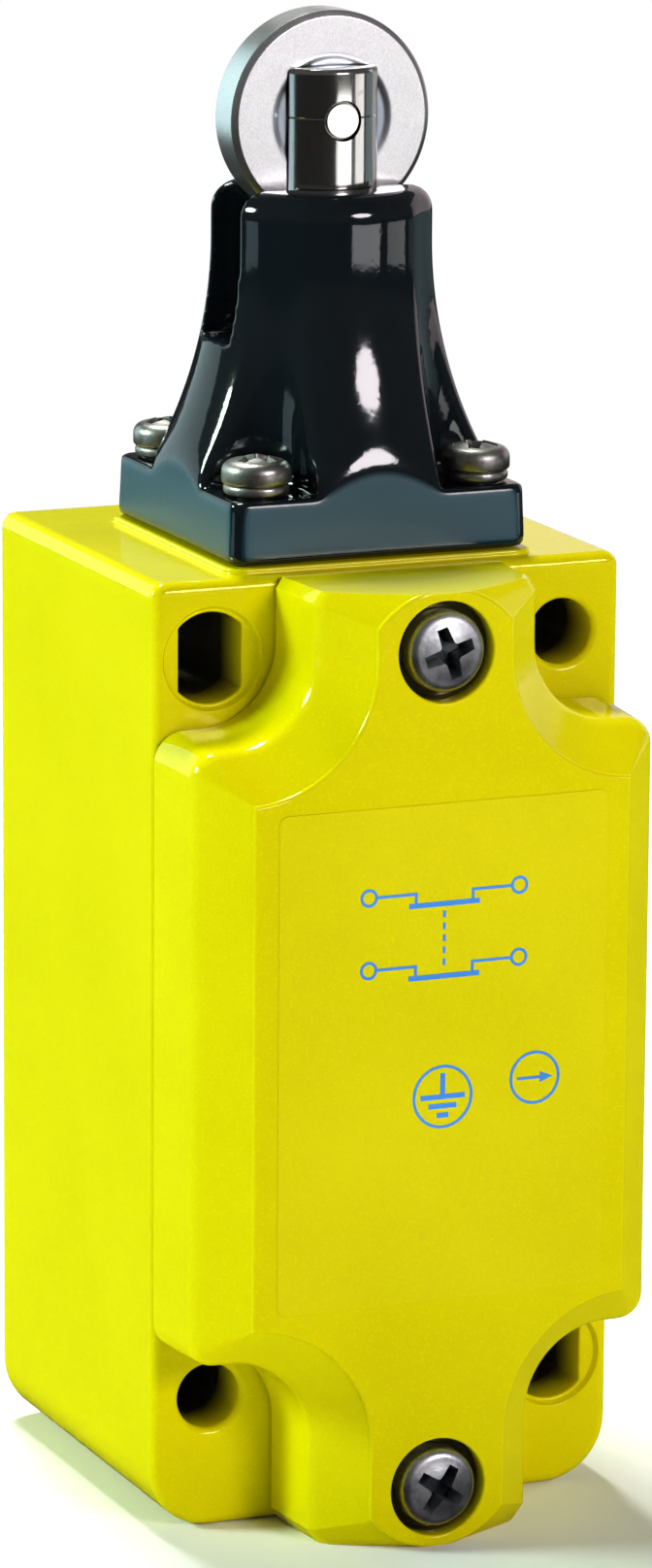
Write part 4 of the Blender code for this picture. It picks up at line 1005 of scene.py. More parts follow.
class SWITCH_OT_housing(bpy.types.Operator):
    """Model the die-cast housing with its seat, holes and hollow"""

    bl_idname = "switch.housing"
    bl_label = "Housing"

    def execute(self, context):
        sizes = context.scene.switch_housing
        top = housing_top()
        housing = box(
            "housing_casting", (-HALF_WIDTH, SEAM_Y, 0), (HALF_WIDTH, BACK_Y, top)
        )
        middle = top / 2

        def lower(a, b):
            return abs(a.y - b.y) > MM and a.z < middle

        def upper(a, b):
            return abs(a.y - b.y) > MM and a.z > middle

        def rims(a, b):
            return abs(a.y - b.y) < MERGE and min(abs(a.y - y) for y in (SEAM_Y, BACK_Y)) < MERGE

        bevel_edges(housing, lower, sizes.bottom_radius, 12)
        bevel_edges(housing, upper, sizes.top_radius, 6)
        bevel_edges(housing, rims, sizes.edge_radius, 5)
        combine(housing, "UNION", self.seat(sizes))
        cut(housing, *self.hollow(sizes))
        cut(housing, *self.screw_holes())
        cut(housing, *self.mounting_holes(sizes))
        smooth(housing)
        dress(housing, yellow_enamel(), "case", "yellow_paint", "housing")
        return {"FINISHED"}

    def seat(self, sizes):
        """The pad under the head, with a filleted foot and a rounded edge."""
        half = (HEAD_HIGH.x - HEAD_LOW.x) / 2 + sizes.seat_rim
        corner = context_head().corner + sizes.seat_rim
        rounding, top = sizes.seat_round, housing_top()
        levels = [(top - OVERCUT, rounding)]
        for angle in spread(0, math.pi / 2, 4):
            lift = rounding * (1 - math.cos(angle))
            levels.append((top + lift, rounding * (1 - math.sin(angle))))
        for angle in spread(0, math.pi / 2, 4):
            drop = rounding * (1 - math.sin(angle))
            levels.append((HOUSING_HIGH.z - drop, -rounding * (1 - math.cos(angle))))
        seat = skin("seat", [round_square(half + out, corner + out, z) for z, out in levels])
        return put(seat, (0, AXIS_Y, 0))

    def hollow(self, sizes):
        """Cutters for the contact room, the wiring room, the conduit and the plunger's passage."""
        front = SEAM_Y - OVERCUT
        ends = (front, BACK_Y - sizes.back_wall)
        room = skin("room", [[(x, y, z) for x, z in pocket_outline(0)] for y in ends])
        groove_y = (front, SEAM_Y + 0.9 * MM)
        groove = skin(
            "groove", [[(x, y, z) for x, z in pocket_outline(1.6 * MM)] for y in groove_y]
        )
        conduit_y = SEAM_Y + sizes.conduit_setback
        radius, chamfer = sizes.conduit_dia / 2, sizes.conduit_chamfer
        length = sizes.conduit_length
        half = HALF_WIDTH - sizes.hole_side - sizes.hole_dia / 2 - sizes.column
        wiring = box(
            "wiring",
            (-half, conduit_y - radius - 0.5 * MM, length),
            (half, BACK_Y - sizes.column, ear_height(-1) + sizes.foot_rim + OVERCUT),
        )
        profile = [(0, -OVERCUT), (radius + chamfer, -OVERCUT), (radius + chamfer, 0)]
        profile += [(radius, chamfer), (radius, length + OVERCUT), (0, length + OVERCUT)]
        conduit = put(lathe("conduit", profile, 96), (0, conduit_y, 0))
        cup_low, cup_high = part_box("spring_cup")
        wide = (cup_high.x - cup_low.x) / 2 + 0.2 * MM
        flange = cup_high.z - 1.12 * MM
        low, high = ear_height(1) - sizes.rim - OVERCUT, HOUSING_HIGH.z + OVERCUT
        narrow = 7.2 * MM
        profile = [(0, low), (narrow, low), (narrow, flange), (wide, flange)]
        profile += [(wide, high), (0, high)]
        passage = put(lathe("passage", profile, 64), (0, AXIS_Y, 0))
        return [groove, room, wiring, conduit, passage]

    def screw_holes(self):
        shank = bpy.context.scene.switch_screws.shank / 2 + 0.2 * MM
        pitch = context_head().screw_pitch / 2
        deep, high = HOUSING_HIGH.z - 8 * MM, HOUSING_HIGH.z + OVERCUT
        tools = []
        for x in (-pitch, pitch):
            for y in (-pitch, pitch):
                tools.append(put(rod("hole", shank, deep, high, 24), (x, AXIS_Y + y, 0)))
        for side in (1, -1):
            place = (0, SEAM_Y, cover_screw_height(side))
            tools.append(put(rod("hole", shank, -7 * MM, OVERCUT, 24), place, FACING_FRONT))
        return tools

    def mounting_holes(self, sizes):
        slots, rounds = hole_places()
        depth = BACK_Y - SEAM_Y + OVERCUT
        tools = []
        for x, z in slots:
            tools.append(put(self.slot(sizes, depth), (x, SEAM_Y, z), FACING_FRONT))
        for x, z in rounds:
            hole = bore("hole", sizes.hole_dia / 2, sizes.hole_mouth, depth)
            tools.append(put(hole, (x, SEAM_Y, z), FACING_FRONT))
        return tools

    def slot(self, sizes, depth):
        """A circle with flat sides below a shallow round recess, both with soft edges."""
        rounding = 0.2 * MM
        tall, flat = sizes.slot_height / 2, sizes.hole_dia / 2
        wide = sizes.recess_dia / 2
        levels = [(tall, flat, -depth)]
        for out, lift in mouth(0, rounding, 4):
            levels.append((tall + out, flat + out, lift - sizes.recess_depth))
        levels.append((wide - rounding, wide, -sizes.recess_depth))
        for out, lift in mouth(wide, rounding, 4):
            levels.append((out, out, lift))
        levels.append((wide + rounding, wide + rounding, OVERCUT))
        count = 96
        loops = []
        for reach, side, z in levels:
            loop = []
            for k in range(count):
                angle = 2 * math.pi * (k + 0.5) / count
                out = min(reach, side / abs(math.cos(angle)))
                loop.append((out * math.cos(angle), out * math.sin(angle), z))
            loops.append(loop)
        return skin("slot", loops)


def context_head():
    return bpy.context.scene.switch_head


class SWITCH_OT_cover(bpy.types.Operator):
    """Model the cover: wall, rounded edge, bevel, stepped plateau and counterbores"""

    bl_idname = "switch.cover"
    bl_label = "Cover"

    def execute(self, context):
        sizes = context.scene.switch_cover
        loops = []
        for rise, inset in cover_levels():
            loops.append([(x, SEAM_Y - rise, z) for x, z in cover_outline(inset)])
        cover = skin("cover_casting", loops)
        ceiling = SEAM_Y - FACE_Y - sizes.skin
        chamfer = 2.4 * MM
        hollow = []
        for rise, shrink in ((-OVERCUT, 0), (ceiling - chamfer, 0), (ceiling, chamfer)):
            hollow.append([(x, SEAM_Y - rise, z) for x, z in pocket_outline(-shrink)])
        cut(cover, skin("hollow", hollow))
        hole = context.scene.switch_screws.shank / 2 + 0.2 * MM
        radius, depth = sizes.bore_dia / 2, sizes.bore_depth
        rounding = sizes.bore_round
        profile = [(0, FACE_Y - SEAM_Y - OVERCUT), (hole, FACE_Y - SEAM_Y - OVERCUT)]
        profile += [(hole, -depth), (radius - rounding, -depth), (radius, rounding - depth)]
        profile += mouth(radius, rounding)
        profile += [(radius + rounding, OVERCUT), (0, OVERCUT)]
        for side in (1, -1):
            place = (0, FACE_Y, cover_screw_height(side))
            cut(cover, put(lathe("counterbore", profile, 96), place, FACING_FRONT))
        smooth(cover, 28)
        dress(cover, yellow_enamel(), "case", "yellow_paint", "cover")
        return {"FINISHED"}


class SWITCH_OT_label(bpy.types.Operator):
    """Lay the thin film on the plateau, with plain printed signs and no lettering"""

    bl_idname = "switch.label"
    bl_label = "Label"

    def execute(self, context):
        sizes = context.scene.switch_print
        half, low, high = sizes.label_width / 2, sizes.label_low, sizes.label_high
        loops = []
        for y, inset in ((FACE_Y + sizes.film, 0), (FACE_Y - sizes.film, sizes.film)):
            radius = sizes.label_radius - inset
            outline = round_rectangle(half - inset, low + inset, high - inset, radius)
            loops.append([(x, y, z) for x, z in outline])
        film = skin("label_film", loops)
        smooth(film)
        dress(film, label_film(), "case", "yellow_paint")
        ink = blue_ink()
        for name, parts in (
            ("print_earth_sign", self.earth_sign(sizes)),
            ("print_arrow_sign", self.arrow_sign(sizes)),
            ("print_contact_diagram", self.contact_diagram(sizes)),
        ):
            dress(self.joined(name, parts), ink, "case", "yellow_paint")
        return {"FINISHED"}

    def joined(self, name, parts):
        """One print from several thin plates, lifted onto the film."""
        focus(parts[0])
        for part in parts:
            part.select_set(True)
        bpy.ops.object.join()
        piece = named(name)
        sizes = bpy.context.scene.switch_print
        return put(piece, (0, FACE_Y - sizes.film, 0), FACING_FRONT)

    def ring(self, centre, radius, sizes):
        outer = radius + sizes.line / 2
        inner = radius - sizes.line / 2
        profile = [(inner, 0), (outer, 0), (outer, sizes.ink), (inner, sizes.ink)]
        return put(lathe("ring", profile, 64, ring=True), (*centre, 0))

    def stroke(self, first, last, width, sizes):
        """A printed bar between two places, its ends cut square."""
        low, high = Vector(first), Vector(last)
        aside = (high - low).orthogonal().normalized() * width / 2
        corners = [low - aside, high - aside, high + aside, low + aside]
        return skin("stroke", [[(*corner, z) for corner in corners] for z in (0, sizes.ink)])

    def earth_sign(self, sizes):
        x, z, radius = 0, 36.9 * MM, 2.45 * MM
        parts = [self.ring((x, z), radius, sizes)]
        parts.append(self.stroke((x, z + 1.9 * MM), (x, z + sizes.bar / 2), sizes.bar, sizes))
        for drop, reach in ((0, 1.9), (0.75, 1.2), (1.5, 0.5)):
            level = z - drop * MM
            ends = ((x - reach * MM, level), (x + reach * MM, level))
            parts.append(self.stroke(*ends, sizes.bar, sizes))
        return parts

    def arrow_sign(self, sizes):
        x, z, radius = 7.9 * MM, 37.7 * MM, 2.05 * MM
        tip = x + 1.55 * MM
        parts = [self.ring((x, z), radius, sizes)]
        parts.append(self.stroke((x - 1.5 * MM, z), (tip - 1.1 * MM, z), sizes.line, sizes))
        head = [(tip, z), (tip - 1.1 * MM, z + 0.45 * MM), (tip - 1.1 * MM, z - 0.45 * MM)]
        parts.append(skin("tip", [[(*corner, y) for corner in head] for y in (0, sizes.ink)]))
        return parts


    def contact_diagram(self, sizes):
        """Two double-break contacts on one dashed link, each between two terminal rings."""
        parts = []
        terminal, end, drop = 0.62 * MM, 2.3 * MM, 0.95 * MM
        reach = 6.4 * MM
        line = sizes.line
        for level in (53.4 * MM, 47.6 * MM):
            for side in (-1, 1):
                parts.append(self.ring((side * reach, level), terminal, sizes))
                start = side * (reach - terminal - line / 2)
                parts.append(self.stroke((start, level), (side * end, level), line, sizes))
                post = side * (end + line / 2)
                foot = level - drop + sizes.bar / 2
                parts.append(self.stroke((post, level - line / 2), (post, foot), line, sizes))
            bridge = ((-end - 3 * line, level - drop), (end + 3 * line, level - drop))
            parts.append(self.stroke(*bridge, sizes.bar, sizes))
        for k in range(5):
            high = 51.9 * MM - k * 0.96 * MM
            parts.append(self.stroke((0, high), (0, high - 0.55 * MM), line, sizes))
        return parts


class SWITCH_OT_head(bpy.types.Operator):
    """Model the black head casting with its soft cast edges"""

    bl_idname = "switch.head"
    bl_label = "Head"

    def execute(self, context):
        sizes = context.scene.switch_head
        rise = HEAD_HIGH.z - HEAD_LOW.z
        count = 256
        angles = [2 * math.pi * (k + 0.5) / count for k in range(count)]
        profiles = [head_profile(sizes, angle) for angle in angles]
        loops = []
        for level in range(len(profiles[0])):
            loop = []
            for angle, profile in zip(angles, profiles):
                reach, z = profile[level]
                loop.append((reach * math.cos(angle), reach * math.sin(angle), z))
            loops.append(loop)
        head = skin("head_casting", loops)
        cut(head, *self.openings(sizes, rise))
        focus(head)
        bpy.ops.object.modifier_add(type="REMESH")
        head.modifiers[-1].mode = "VOXEL"
        head.modifiers[-1].voxel_size = sizes.grid
        bpy.ops.object.modifier_apply(modifier=head.modifiers[-1].name)
        bpy.ops.object.modifier_add(type="SMOOTH")
        head.modifiers[-1].factor = 0.5
        head.modifiers[-1].iterations = 10
        bpy.ops.object.modifier_apply(modifier=head.modifiers[-1].name)
        bpy.ops.object.shade_smooth()
        put(head, (0, AXIS_Y, HEAD_LOW.z))
        dress(head, black_enamel(), "case", "black_paint", "head_body")
        return {"FINISHED"}

    def openings(self, sizes, rise):
        """Cutters for the roller's slot, the plunger's bore, the bush and the screws."""
        wide, high = sizes.screw_pitch, rise + OVERCUT
        slot = sizes.slot_width / 2
        bush_low, bush_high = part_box("guide_bush")
        bush = (bush_high.x - bush_low.x) / 2 + 0.2 * MM
        seal_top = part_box("plunger_seal")[1].z - HEAD_LOW.z + 0.12 * MM
        tools = [box("slot", (-wide, -slot, sizes.slot_floor), (wide, slot, high))]
        chamber_top = bush_low.z - HEAD_LOW.z
        profile = [(0, -OVERCUT), (sizes.chamber, -OVERCUT), (sizes.chamber, chamber_top)]
        profile += [(bush, chamber_top), (bush, seal_top), (sizes.bore, seal_top)]
        profile += [(sizes.bore, high), (0, high)]
        tools.append(lathe("bore", profile, 64))
        pitch = sizes.screw_pitch / 2
        hole = bpy.context.scene.switch_screws.shank / 2 + 0.2 * MM
        for x in (-pitch, pitch):
            for y in (-pitch, pitch):
                tool = rod("hole", hole, -OVERCUT, sizes.base_rise + OVERCUT, 24)
                tools.append(put(tool, (x, y, 0)))
        return tools


class SWITCH_OT_train(bpy.types.Operator):
    """Model the plunger, its roller and the axle"""

    bl_idname = "switch.train"
    bl_label = "Plunger and roller"

    def execute(self, context):
        sizes = context.scene.switch_train
        dress(self.plunger(sizes), polished_steel(), "plunger_set", "steel", "plunger")
        dress(self.axle(), polished_steel(), "roller_set", "steel", "roller_axle")
        dress(self.roller(sizes), satin_steel(), "roller_set", "steel", "roller")
        return {"FINISHED"}

    def plunger(self, sizes):
        """A turned stem with a collar, a forked top and a fine line at the axle's height."""
        radius, stem = sizes.plunger_dia / 2, sizes.stem_dia / 2
        collar_low, collar_high = self.collar()
        collar = (PLUNGER_HIGH.x - PLUNGER_LOW.x) / 2
        top, low = PLUNGER_HIGH.z, PLUNGER_LOW.z
        profile = [(0, low), (stem - 0.4 * MM, low), (stem, low + 0.4 * MM)]
        profile += [(stem, collar_low), (collar, collar_low), (collar, collar_high)]
        profile += [(radius, collar_high)]
        half = sizes.scribe / 2
        line = AXLE_Z + 0.2 * MM
        profile += [(radius, line - half), (radius - sizes.scribe_depth, line)]
        profile += [(radius, line + half)]
        for angle in spread(0, math.pi / 2, 6):
            inset = sizes.chamfer * (1 - math.cos(angle))
            profile.append((radius - inset, top - sizes.chamfer * (1 - math.sin(angle))))
        profile.append((0, top))
        plunger = put(lathe("plunger_stem", profile, 128), (0, AXIS_Y, 0))
        gap = (ROLLER_HIGH.y - ROLLER_LOW.y) / 2 + sizes.slot_gap
        wide = HALF_WIDTH
        floor = ROLLER_LOW.z - 0.3 * MM
        cut(
            plunger,
            box("fork", (-wide, AXIS_Y - gap, floor), (wide, AXIS_Y + gap, top + OVERCUT)),
        )
        hole = (AXLE_HIGH.x - AXLE_LOW.x) / 2 + sizes.axle_gap
        tool = rod("hole", hole, -wide, wide, 64)
        cut(plunger, put(tool, (0, AXIS_Y, AXLE_Z), FACING_FRONT))
        smooth(plunger)
        return plunger

    def collar(self):
        """Heights of the collar, just below the guide bush."""
        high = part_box("guide_bush")[0].z - 0.3 * MM
        return high - 1.1 * MM, high

    def axle(self):
        radius = (AXLE_HIGH.z - AXLE_LOW.z) / 2
        half = (AXLE_HIGH.y - AXLE_LOW.y) / 2
        edge = 0.18 * MM
        profile = [(0, -half), (radius - edge, -half), (radius, edge - half)]
        profile += [(radius, half - edge), (radius - edge, half), (0, half)]
        axle = put(lathe("axle_pin", profile, 64), (0, AXIS_Y, AXLE_Z), FACING_FRONT)
        smooth(axle)
        return axle

    def roller(self, sizes):
        """A turned ring with chamfered rims and a shallow dish round the fork."""
        bore_radius = (AXLE_HIGH.z - AXLE_LOW.z) / 2 + sizes.axle_gap
        rim = (ROLLER_HIGH.z - ROLLER_LOW.z) / 2
        half = (ROLLER_HIGH.y - ROLLER_LOW.y) / 2
        edge, soft = sizes.rim_chamfer, 0.1 * MM
        face = [(bore_radius, half)]
        for share in spread(0, 2, 12):
            fall = (1 - math.cos(math.pi * share)) / 2
            start = sizes.dish_inner if share < 1 else sizes.dish_outer - 2 * sizes.dish_slope
            face.append((start + sizes.dish_slope * share, half - sizes.dish_depth * fall))
        face += [(rim - edge - soft, half), (rim - edge, half - soft / 4)]
        face += [(rim - soft / 4, half - edge + soft / 2), (rim, half - edge - soft)]
        profile = face + [(r, -z) for r, z in reversed(face)]
        roller = lathe("roller_wheel", profile, 160, ring=True)
        put(roller, (0, AXIS_Y, AXLE_Z), FACING_FRONT)
        smooth(roller)
        return roller


class SWITCH_OT_screws(bpy.types.Operator):
    """Model the cover screws, and the head screws on their washers"""

    bl_idname = "switch.screws"
    bl_label = "Screws"

    def execute(self, context):
        sizes = context.scene.switch_screws
        zinc = worn_zinc()
        for name, node, spin, mark in (
            ("upper", "cover_screw_top", sizes.upper_turn, 225),
            ("lower", "cover_screw_bottom", sizes.lower_turn, -45),
        ):
            low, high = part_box(node)
            seat = FACE_Y + sizes.cover_seat
            shape = (sizes.cover_dia, sizes.cover_rise, high.y - seat, 0.56)
            screw = self.screw(f"{name}_cover_screw", *shape)
            angle = math.radians(mark)
            away = sizes.cover_dia * 0.33
            place = (away * math.cos(angle), away * math.sin(angle), sizes.cover_rise)
            dimple = lathe(
                "dimple", [(0, -sizes.dimple), (sizes.dimple, 0), (0, sizes.dimple)], 20
            )
            cut(screw, put(dimple, place))
            smooth(screw)
            middle = ((low.x + high.x) / 2, seat, (low.z + high.z) / 2)
            put(screw, middle, FACING_FRONT @ Matrix.Rotation(spin, 4, "Z"))
            dress(screw, zinc, "case", "zinc", node)
        self.head_screws(sizes, dull_zinc())
        return {"FINISHED"}

    def head_screws(self, sizes, zinc):
        low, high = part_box("head_screw_front_left")
        length = high.z - low.z - sizes.head_rise
        screw = self.screw("head_pan_screw", sizes.head_dia, sizes.head_rise, length, 0.42)
        smooth(screw)
        washer = self.washer(sizes)
        smooth(washer)
        for k, place in enumerate(("front_left", "front_right", "back_left", "back_right")):
            node = f"head_screw_{place}"
            low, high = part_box(node)
            x, y = (low.x + high.x) / 2, (low.y + high.y) / 2
            spin = Matrix.Rotation(math.radians(25 + 37 * k), 4, "Z")
            seat = (x, y, high.z - sizes.head_rise)
            dress(copy_of(screw, f"pan_screw_{place}", seat, spin), zinc, "case", "zinc", node)
            node = f"head_washer_{place}"
            seat = (x, y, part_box(node)[0].z)
            dress(copy_of(washer, f"washer_{place}", seat), zinc, "case", "zinc", node)
        remove(screw)
        remove(washer)

    def washer(self, sizes):
        """A flat ring with rounded edges."""
        low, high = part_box("head_washer_front_left")
        inner, outer = sizes.shank / 2 + 0.2 * MM, (high.x - low.x) / 2
        rise = high.z - low.z
        edge = rise * 0.4
        profile = [(inner, 0)]
        for first, level in ((-90, edge), (0, rise - edge)):
            for x, z in corner_arc(outer - edge, level, edge, first, 5):
                profile.append((x, z))
        profile.append((inner, rise))
        return lathe("head_washer", profile, 64, ring=True)

    def screw(self, name, dia, rise, length, upright):
        """A pan head with a domed top and a tapered cross recess, its seat at Z = 0.

        Upright is the share of the head's height that stands straight.
        """
        sizes = bpy.context.scene.switch_screws
        head, shank = dia / 2, sizes.shank / 2
        edge = 0.25 * MM
        shoulder, corner = rise * upright, rise * (1 - upright) * 0.7
        dome = rise - shoulder - corner
        profile = [(0, -length), (shank - edge, -length), (shank, edge - length), (shank, 0)]
        for x, z in corner_arc(head - edge, edge, edge, 270, 3):
            profile.append((x, z))
        for x, z in corner_arc(head - corner, shoulder, corner, 0, 8):
            profile.append((x, z))
        flat = profile[-1][0]
        for share in (0.75, 0.5, 0.25, 0):
            profile.append((flat * share, rise - dome * share * share))
        screw = lathe(name, profile, 72)
        arm = sizes.arm / 2
        reach, depth = head * 0.64, rise * 0.72
        floor = self.cross(reach * 0.7, arm * 0.8, rise - depth)
        lip = self.cross(reach, arm, rise - dome)
        out = self.cross(reach * 1.3, arm * 1.3, rise + OVERCUT)
        cut(screw, skin("cross", [floor, lip, out]))
        self.mark_recess(screw, rise - depth, rise - 1.4 * dome)
        return screw

    def mark_recess(self, screw, floor, lip):
        """Notes in an attribute how deep each corner lies in the cross recess, for the painted shade
        there.
        """
        marks = screw.data.attributes.new("recess", "FLOAT", "POINT")
        inner = bpy.context.scene.switch_screws.shank / 2
        for corner, mark in zip(screw.data.vertices, marks.data):
            inside = math.hypot(corner.co.x, corner.co.y) < inner and corner.co.z > 0
            depth = (lip - corner.co.z) / (lip - floor)
            mark.value = min(max(depth * 1.5, 0), 1) if inside else 0

    def cross(self, reach, arm, z):
        """The outline of a cross recess at one height, with rounded inner corners."""
        points = []
        soft = arm * 0.5
        for quarter in range(4):
            turned = Matrix.Rotation(quarter * math.pi / 2, 3, "Z")
            points.append(turned @ Vector((reach, -arm * 0.85, z)))
            points.append(turned @ Vector((reach, arm * 0.85, z)))
            for angle in spread(270, 180, 4):
                spot = math.radians(angle)
                x = arm + soft + soft * math.cos(spot)
                y = arm + soft + soft * math.sin(spot)
                points.append(turned @ Vector((x, y, z)))
        return points


class SWITCH_OT_inside(bpy.types.Operator):
    """Finish the pieces inside, which keep the frame's own meshes"""

    bl_idname = "switch.inside"
    bl_label = "Inside"

    def execute(self, context):
        finishes = {
            "zinc": worn_zinc(),
            "spring_steel": metal("spring_wire", colours().spring, 0.3, 3000.0, 1.0, 0.004 * MM),
            "brass": metal("turned_brass", colours().brass, 0.28, 2500.0, 0.2, 0.004 * MM),
            "contact_metal": metal(
                "contact_metal_strip", colours().contact, 0.3, 2500.0, 1.0, 0.006 * MM
            ),
            "rubber": moulded("seal_rubber", colours().rubber, 0.75, 2500.0, 0.01 * MM),
            "plastic": moulded("block_plastic", colours().plastic, 0.45, 2200.0, 0.008 * MM),
            "white_plastic": moulded("slider_plastic", colours().white, 0.4, 2200.0, 0.006 * MM),
        }
        for joint in frame["joints"]:
            for spring in joint.get("deforming_nodes", ()):
                self.coil(spring["node"], joint, finishes["spring_steel"])
        slots = node_slots()
        for name, node in frame["nodes"].items():
            if node.hide_render:
                continue
            node.data.materials.clear()
            node.data.materials.append(finishes[slots[name]])
        return {"FINISHED"}

    def coil(self, node, joint, steel):
        """A copy of a spring's mesh on the case, in spring steel."""
        coil = copy_of(frame["nodes"][node], node.replace("spring", "coil"), (0, 0, 0))
        dress(coil, steel, "case", "spring_steel", node)
        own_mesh(coil)


def node_slots():
    """The material slot of each node that keeps its own mesh, by what it is made of."""
    slots = {}
    for name in frame["nodes"]:
        if "spring" in name and name != "spring_cup":
            slots[name] = "spring_steel"
        elif name.startswith(("fixed_contact", "contact_bridge")):
            slots[name] = "contact_metal"
        elif name in ("cover_gasket", "head_gasket", "plunger_seal"):
            slots[name] = "rubber"
        elif name in ("contact_slider", "contact_block_lid"):
            slots[name] = "white_plastic"
        elif name == "contact_block":
            slots[name] = "plastic"
        elif name == "guide_bush":
            slots[name] = "brass"
        else:
            slots[name] = "zinc"
    return slots


class SWITCH_OT_stage(bpy.types.Operator):
    """Set the floor, the studio lights and the camera"""

    bl_idname = "switch.stage"
    bl_label = "Stage"

    def execute(self, context):
        scene = context.scene
        scene.view_settings.view_transform = "Standard"
        self.floor()
        plain, cool, warm = (1.0, 1.0, 1.0), (0.74, 1.0, 0.86), (1.0, 0.93, 0.97)
        pink, teal, blue = (1.0, 0.85, 0.88), (0.72, 0.97, 1.0), (0.65, 0.88, 1.0)
        for name, azimuths, radii, heights, tone, colour in (
            ("front_card", (9, 40), (0.55, 1.15), (0.0, 0.0), 3.2, plain),
            ("right_card", (50, 74), (0.60, 1.10), (0.0, 0.0), 1.6, plain),
            ("far_right_card", (80, 128), (0.60, 1.10), (0.0, 0.0), 0.25, teal),
            ("left_card", (-108, -84), (0.45, 1.20), (0.0, 0.0), 1.1, blue),
            ("back_right_card", (95, 157.2), (1.20, 1.20), (0.0, 0.60), 0.75, pink),
            ("back_left_card", (190, 230), (0.40, 0.40), (0.02, 0.30), 1.2, teal),
        ):
            self.card(name, azimuths, radii, heights, tone, colour)
        self.flags()
        self.world(scene)
        for name, azimuth, elevation, wide, high, power, colour in (
            ("key_left", -108, 24, 0.30, 0.30, 13.8, cool),
            ("front_right", 21, 21, 0.42, 0.30, 6.8, warm),
            ("top_back", 180, 65, 0.30, 0.20, 15.8, (0.95, 1.0, 0.92)),
            ("right_fill", 105, 12, 0.4, 0.3, 4.0, cool),
        ):
            lamp = self.softbox(name, azimuth, elevation, wide, high, power, colour)
            lamp.visible_glossy = name != "right_fill"
        self.camera(scene)
        return {"FINISHED"}

    def floor(self):
        """A pale floor that turns plain white away from the object and keeps its shadow."""
        begin()
        bpy.ops.mesh.primitive_circle_add(vertices=96, radius=8, fill_type="NGON")
        floor = named("floor")
        floor.location.z = -0.02 * MM
        material, tree, shader = new_material("pale_floor", (0.88, 0.88, 0.88))
        shader.inputs["Base Color"].default_value = (0.88, 0.88, 0.88, 1)
        shader.inputs["Roughness"].default_value = 0.9
        shader.inputs["Specular IOR Level"].default_value = 0.0
        place = add_node(tree, "ShaderNodeTexCoord").outputs["Object"]
        away = add_node(tree, "ShaderNodeVectorMath", {0: place}, operation="LENGTH")
        far = remap(tree, away.outputs["Value"], 0.10, 0.40)
        seen = self.seen(tree)
        white = add_node(tree, "ShaderNodeEmission", {"Strength": 1.0}).outputs[0]
        blend = {0: math_node(tree, "MULTIPLY", far, seen), 1: shader.outputs[0], 2: white}
        surface = add_node(tree, "ShaderNodeMixShader", blend).outputs[0]
        tree.links.new(surface, tree.nodes["Material Output"].inputs["Surface"])
        floor.data.materials.append(material)

    def seen(self, tree):
        """1 for what the camera sees, straight or by way of metal and glass."""
        path = add_node(tree, "ShaderNodeLightPath").outputs
        mirrored = math_node(tree, "MAXIMUM", path["Is Glossy Ray"], path["Is Transmission Ray"])
        return math_node(tree, "MAXIMUM", path["Is Camera Ray"], mirrored)

    def flags(self):
        """A dark floor and a dim sky, seen in reflections alone, that keep the enamel deep."""
        begin()
        bpy.ops.mesh.primitive_circle_add(vertices=96, radius=8, fill_type="NGON")
        flag = named("floor_flag")
        flag.location.z = 0.1 * MM
        self.reflect_only(flag, 0.02, (1.0, 1.0, 1.0))
        begin()
        bpy.ops.mesh.primitive_uv_sphere_add(segments=48, ring_count=24, radius=7.5)
        self.reflect_only(named("sky_flag"), 0.08, (1.0, 1.0, 1.0))

    def card(self, name, azimuths, radii, heights, tone, colour):
        """A bright card bent round the object, flat or upright, seen in reflections alone."""
        begin()
        bpy.ops.mesh.primitive_grid_add(x_subdivisions=24, y_subdivisions=1, size=2)
        card = named(name)
        for corner in card.data.vertices:
            across, along = (corner.co.x + 1) / 2, (corner.co.y + 1) / 2
            turned = math.radians(azimuths[0] + (azimuths[1] - azimuths[0]) * across)
            away = radii[0] + (radii[1] - radii[0]) * along
            lift = heights[0] + (heights[1] - heights[0]) * along + 1 * MM
            corner.co = (away * math.sin(turned), -away * math.cos(turned), lift)
        self.reflect_only(card, tone, colour)

    def reflect_only(self, card, tone, colour):
        """Gives a card its glow, and hides it from all but reflections."""
        material, _, shader = new_material(card.name, colour)
        shader.inputs["Base Color"].default_value = (0, 0, 0, 1)
        shader.inputs["Specular IOR Level"].default_value = 0.0
        shader.inputs["Emission Color"].default_value = (*colour, 1)
        shader.inputs["Emission Strength"].default_value = tone
        card.data.materials.append(material)
        card.visible_camera = False
        card.visible_diffuse = False
        card.visible_shadow = False

    def world(self, scene):
        world = bpy.data.worlds.new("studio")
        scene.world = world
        world.use_nodes = True
        tree = world.node_tree
        background = tree.nodes["Background"]
        background.inputs["Color"].default_value = (1, 1, 1, 1)
        strength = remap(tree, self.seen(tree), 0.0, 1.0, 0.08, 1.0)
        tree.links.new(strength, background.inputs["Strength"])

    def softbox(self, name, azimuth, elevation, wide, high, power, colour):
        """An area light 1.2 m from the object, its azimuth counted from the front to the right."""
        turned, lift = math.radians(azimuth), math.radians(elevation)
        flat = math.cos(lift)
        away = Vector((math.sin(turned) * flat, -math.cos(turned) * flat, math.sin(lift)))
        data = bpy.data.lights.new(name, "AREA")
        data.shape = "ELLIPSE"
        data.size, data.size_y = wide, high
        data.energy = power
        data.color = colour
        lamp = bpy.data.objects.new(name, data)
        lamp.location = (CAD_BOX[0] + CAD_BOX[1]) / 2 + away * 1.2
        lamp.rotation_euler = (-away).to_track_quat("-Z", "Y").to_euler()
        bpy.context.scene.collection.objects.link(lamp)
        return lamp

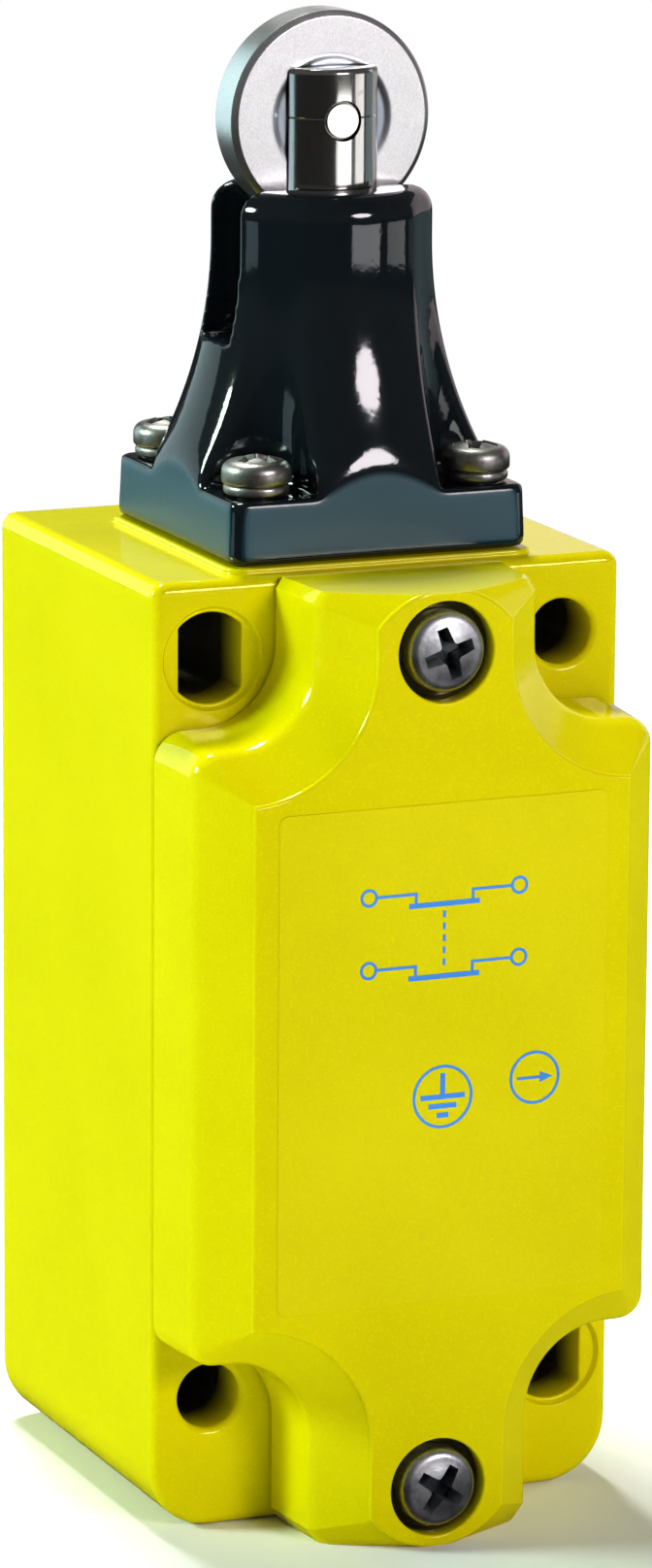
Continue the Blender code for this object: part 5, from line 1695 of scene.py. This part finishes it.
    def camera(self, scene):
        """A long lens in front, to the left and a little above."""
        azimuth, elevation, roll = (math.radians(a) for a in (23.08, 12.57, 0.41))
        ahead = Vector(
            (
                math.sin(azimuth) * math.cos(elevation),
                math.cos(azimuth) * math.cos(elevation),
                -math.sin(elevation),
            )
        )
        right = Vector((math.cos(azimuth), -math.sin(azimuth), 0))
        up = right.cross(ahead)
        across = math.cos(roll) * right + math.sin(roll) * up
        above = math.cos(roll) * up - math.sin(roll) * right
        data = bpy.data.cameras.new("camera")
        data.lens = 168.9
        data.clip_start = 0.01
        camera = bpy.data.objects.new("camera", data)
        turned = Matrix((across, above, -ahead)).transposed().to_4x4()
        camera.matrix_world = Matrix.Translation((-0.2269, -0.5310, 0.1861)) @ turned
        scene.collection.objects.link(camera)
        scene.camera = camera


class SWITCH_PT_panel(bpy.types.Panel):
    bl_label = "Limit Switch"
    bl_idname = "SWITCH_PT_panel"
    bl_space_type = "VIEW_3D"
    bl_region_type = "UI"
    bl_category = "Limit Switch"

    def draw(self, context):
        layout = self.layout
        for operator in OPERATORS:
            layout.operator(operator.bl_idname)
        for label, group in GROUPS.items():
            section = layout.box()
            section.label(text=group.__name__)
            holder = getattr(context.scene, label)
            for key in group.__annotations__:
                section.prop(holder, key)


OPERATORS = (
    SWITCH_OT_stage,
    SWITCH_OT_housing,
    SWITCH_OT_cover,
    SWITCH_OT_label,
    SWITCH_OT_head,
    SWITCH_OT_train,
    SWITCH_OT_screws,
    SWITCH_OT_inside,
)
GROUPS = {
    "switch_housing": HousingSizes,
    "switch_cover": CoverSizes,
    "switch_print": PrintSizes,
    "switch_head": HeadSizes,
    "switch_train": TrainSizes,
    "switch_screws": ScrewSizes,
    "switch_finishes": Finishes,
}
CLASSES = (*GROUPS.values(), *OPERATORS, SWITCH_PT_panel)


def register():
    for each in CLASSES:
        bpy.utils.register_class(each)
    for label, group in GROUPS.items():
        setattr(bpy.types.Scene, label, PointerProperty(type=group))


def unregister():
    for label in GROUPS:
        delattr(bpy.types.Scene, label)
    for each in reversed(CLASSES):
        bpy.utils.unregister_class(each)


def main():
    register()
    for operator in OPERATORS:
        group, name = operator.bl_idname.split(".")
        getattr(getattr(bpy.ops, group), name)()


if __name__ == "__main__":
    main()
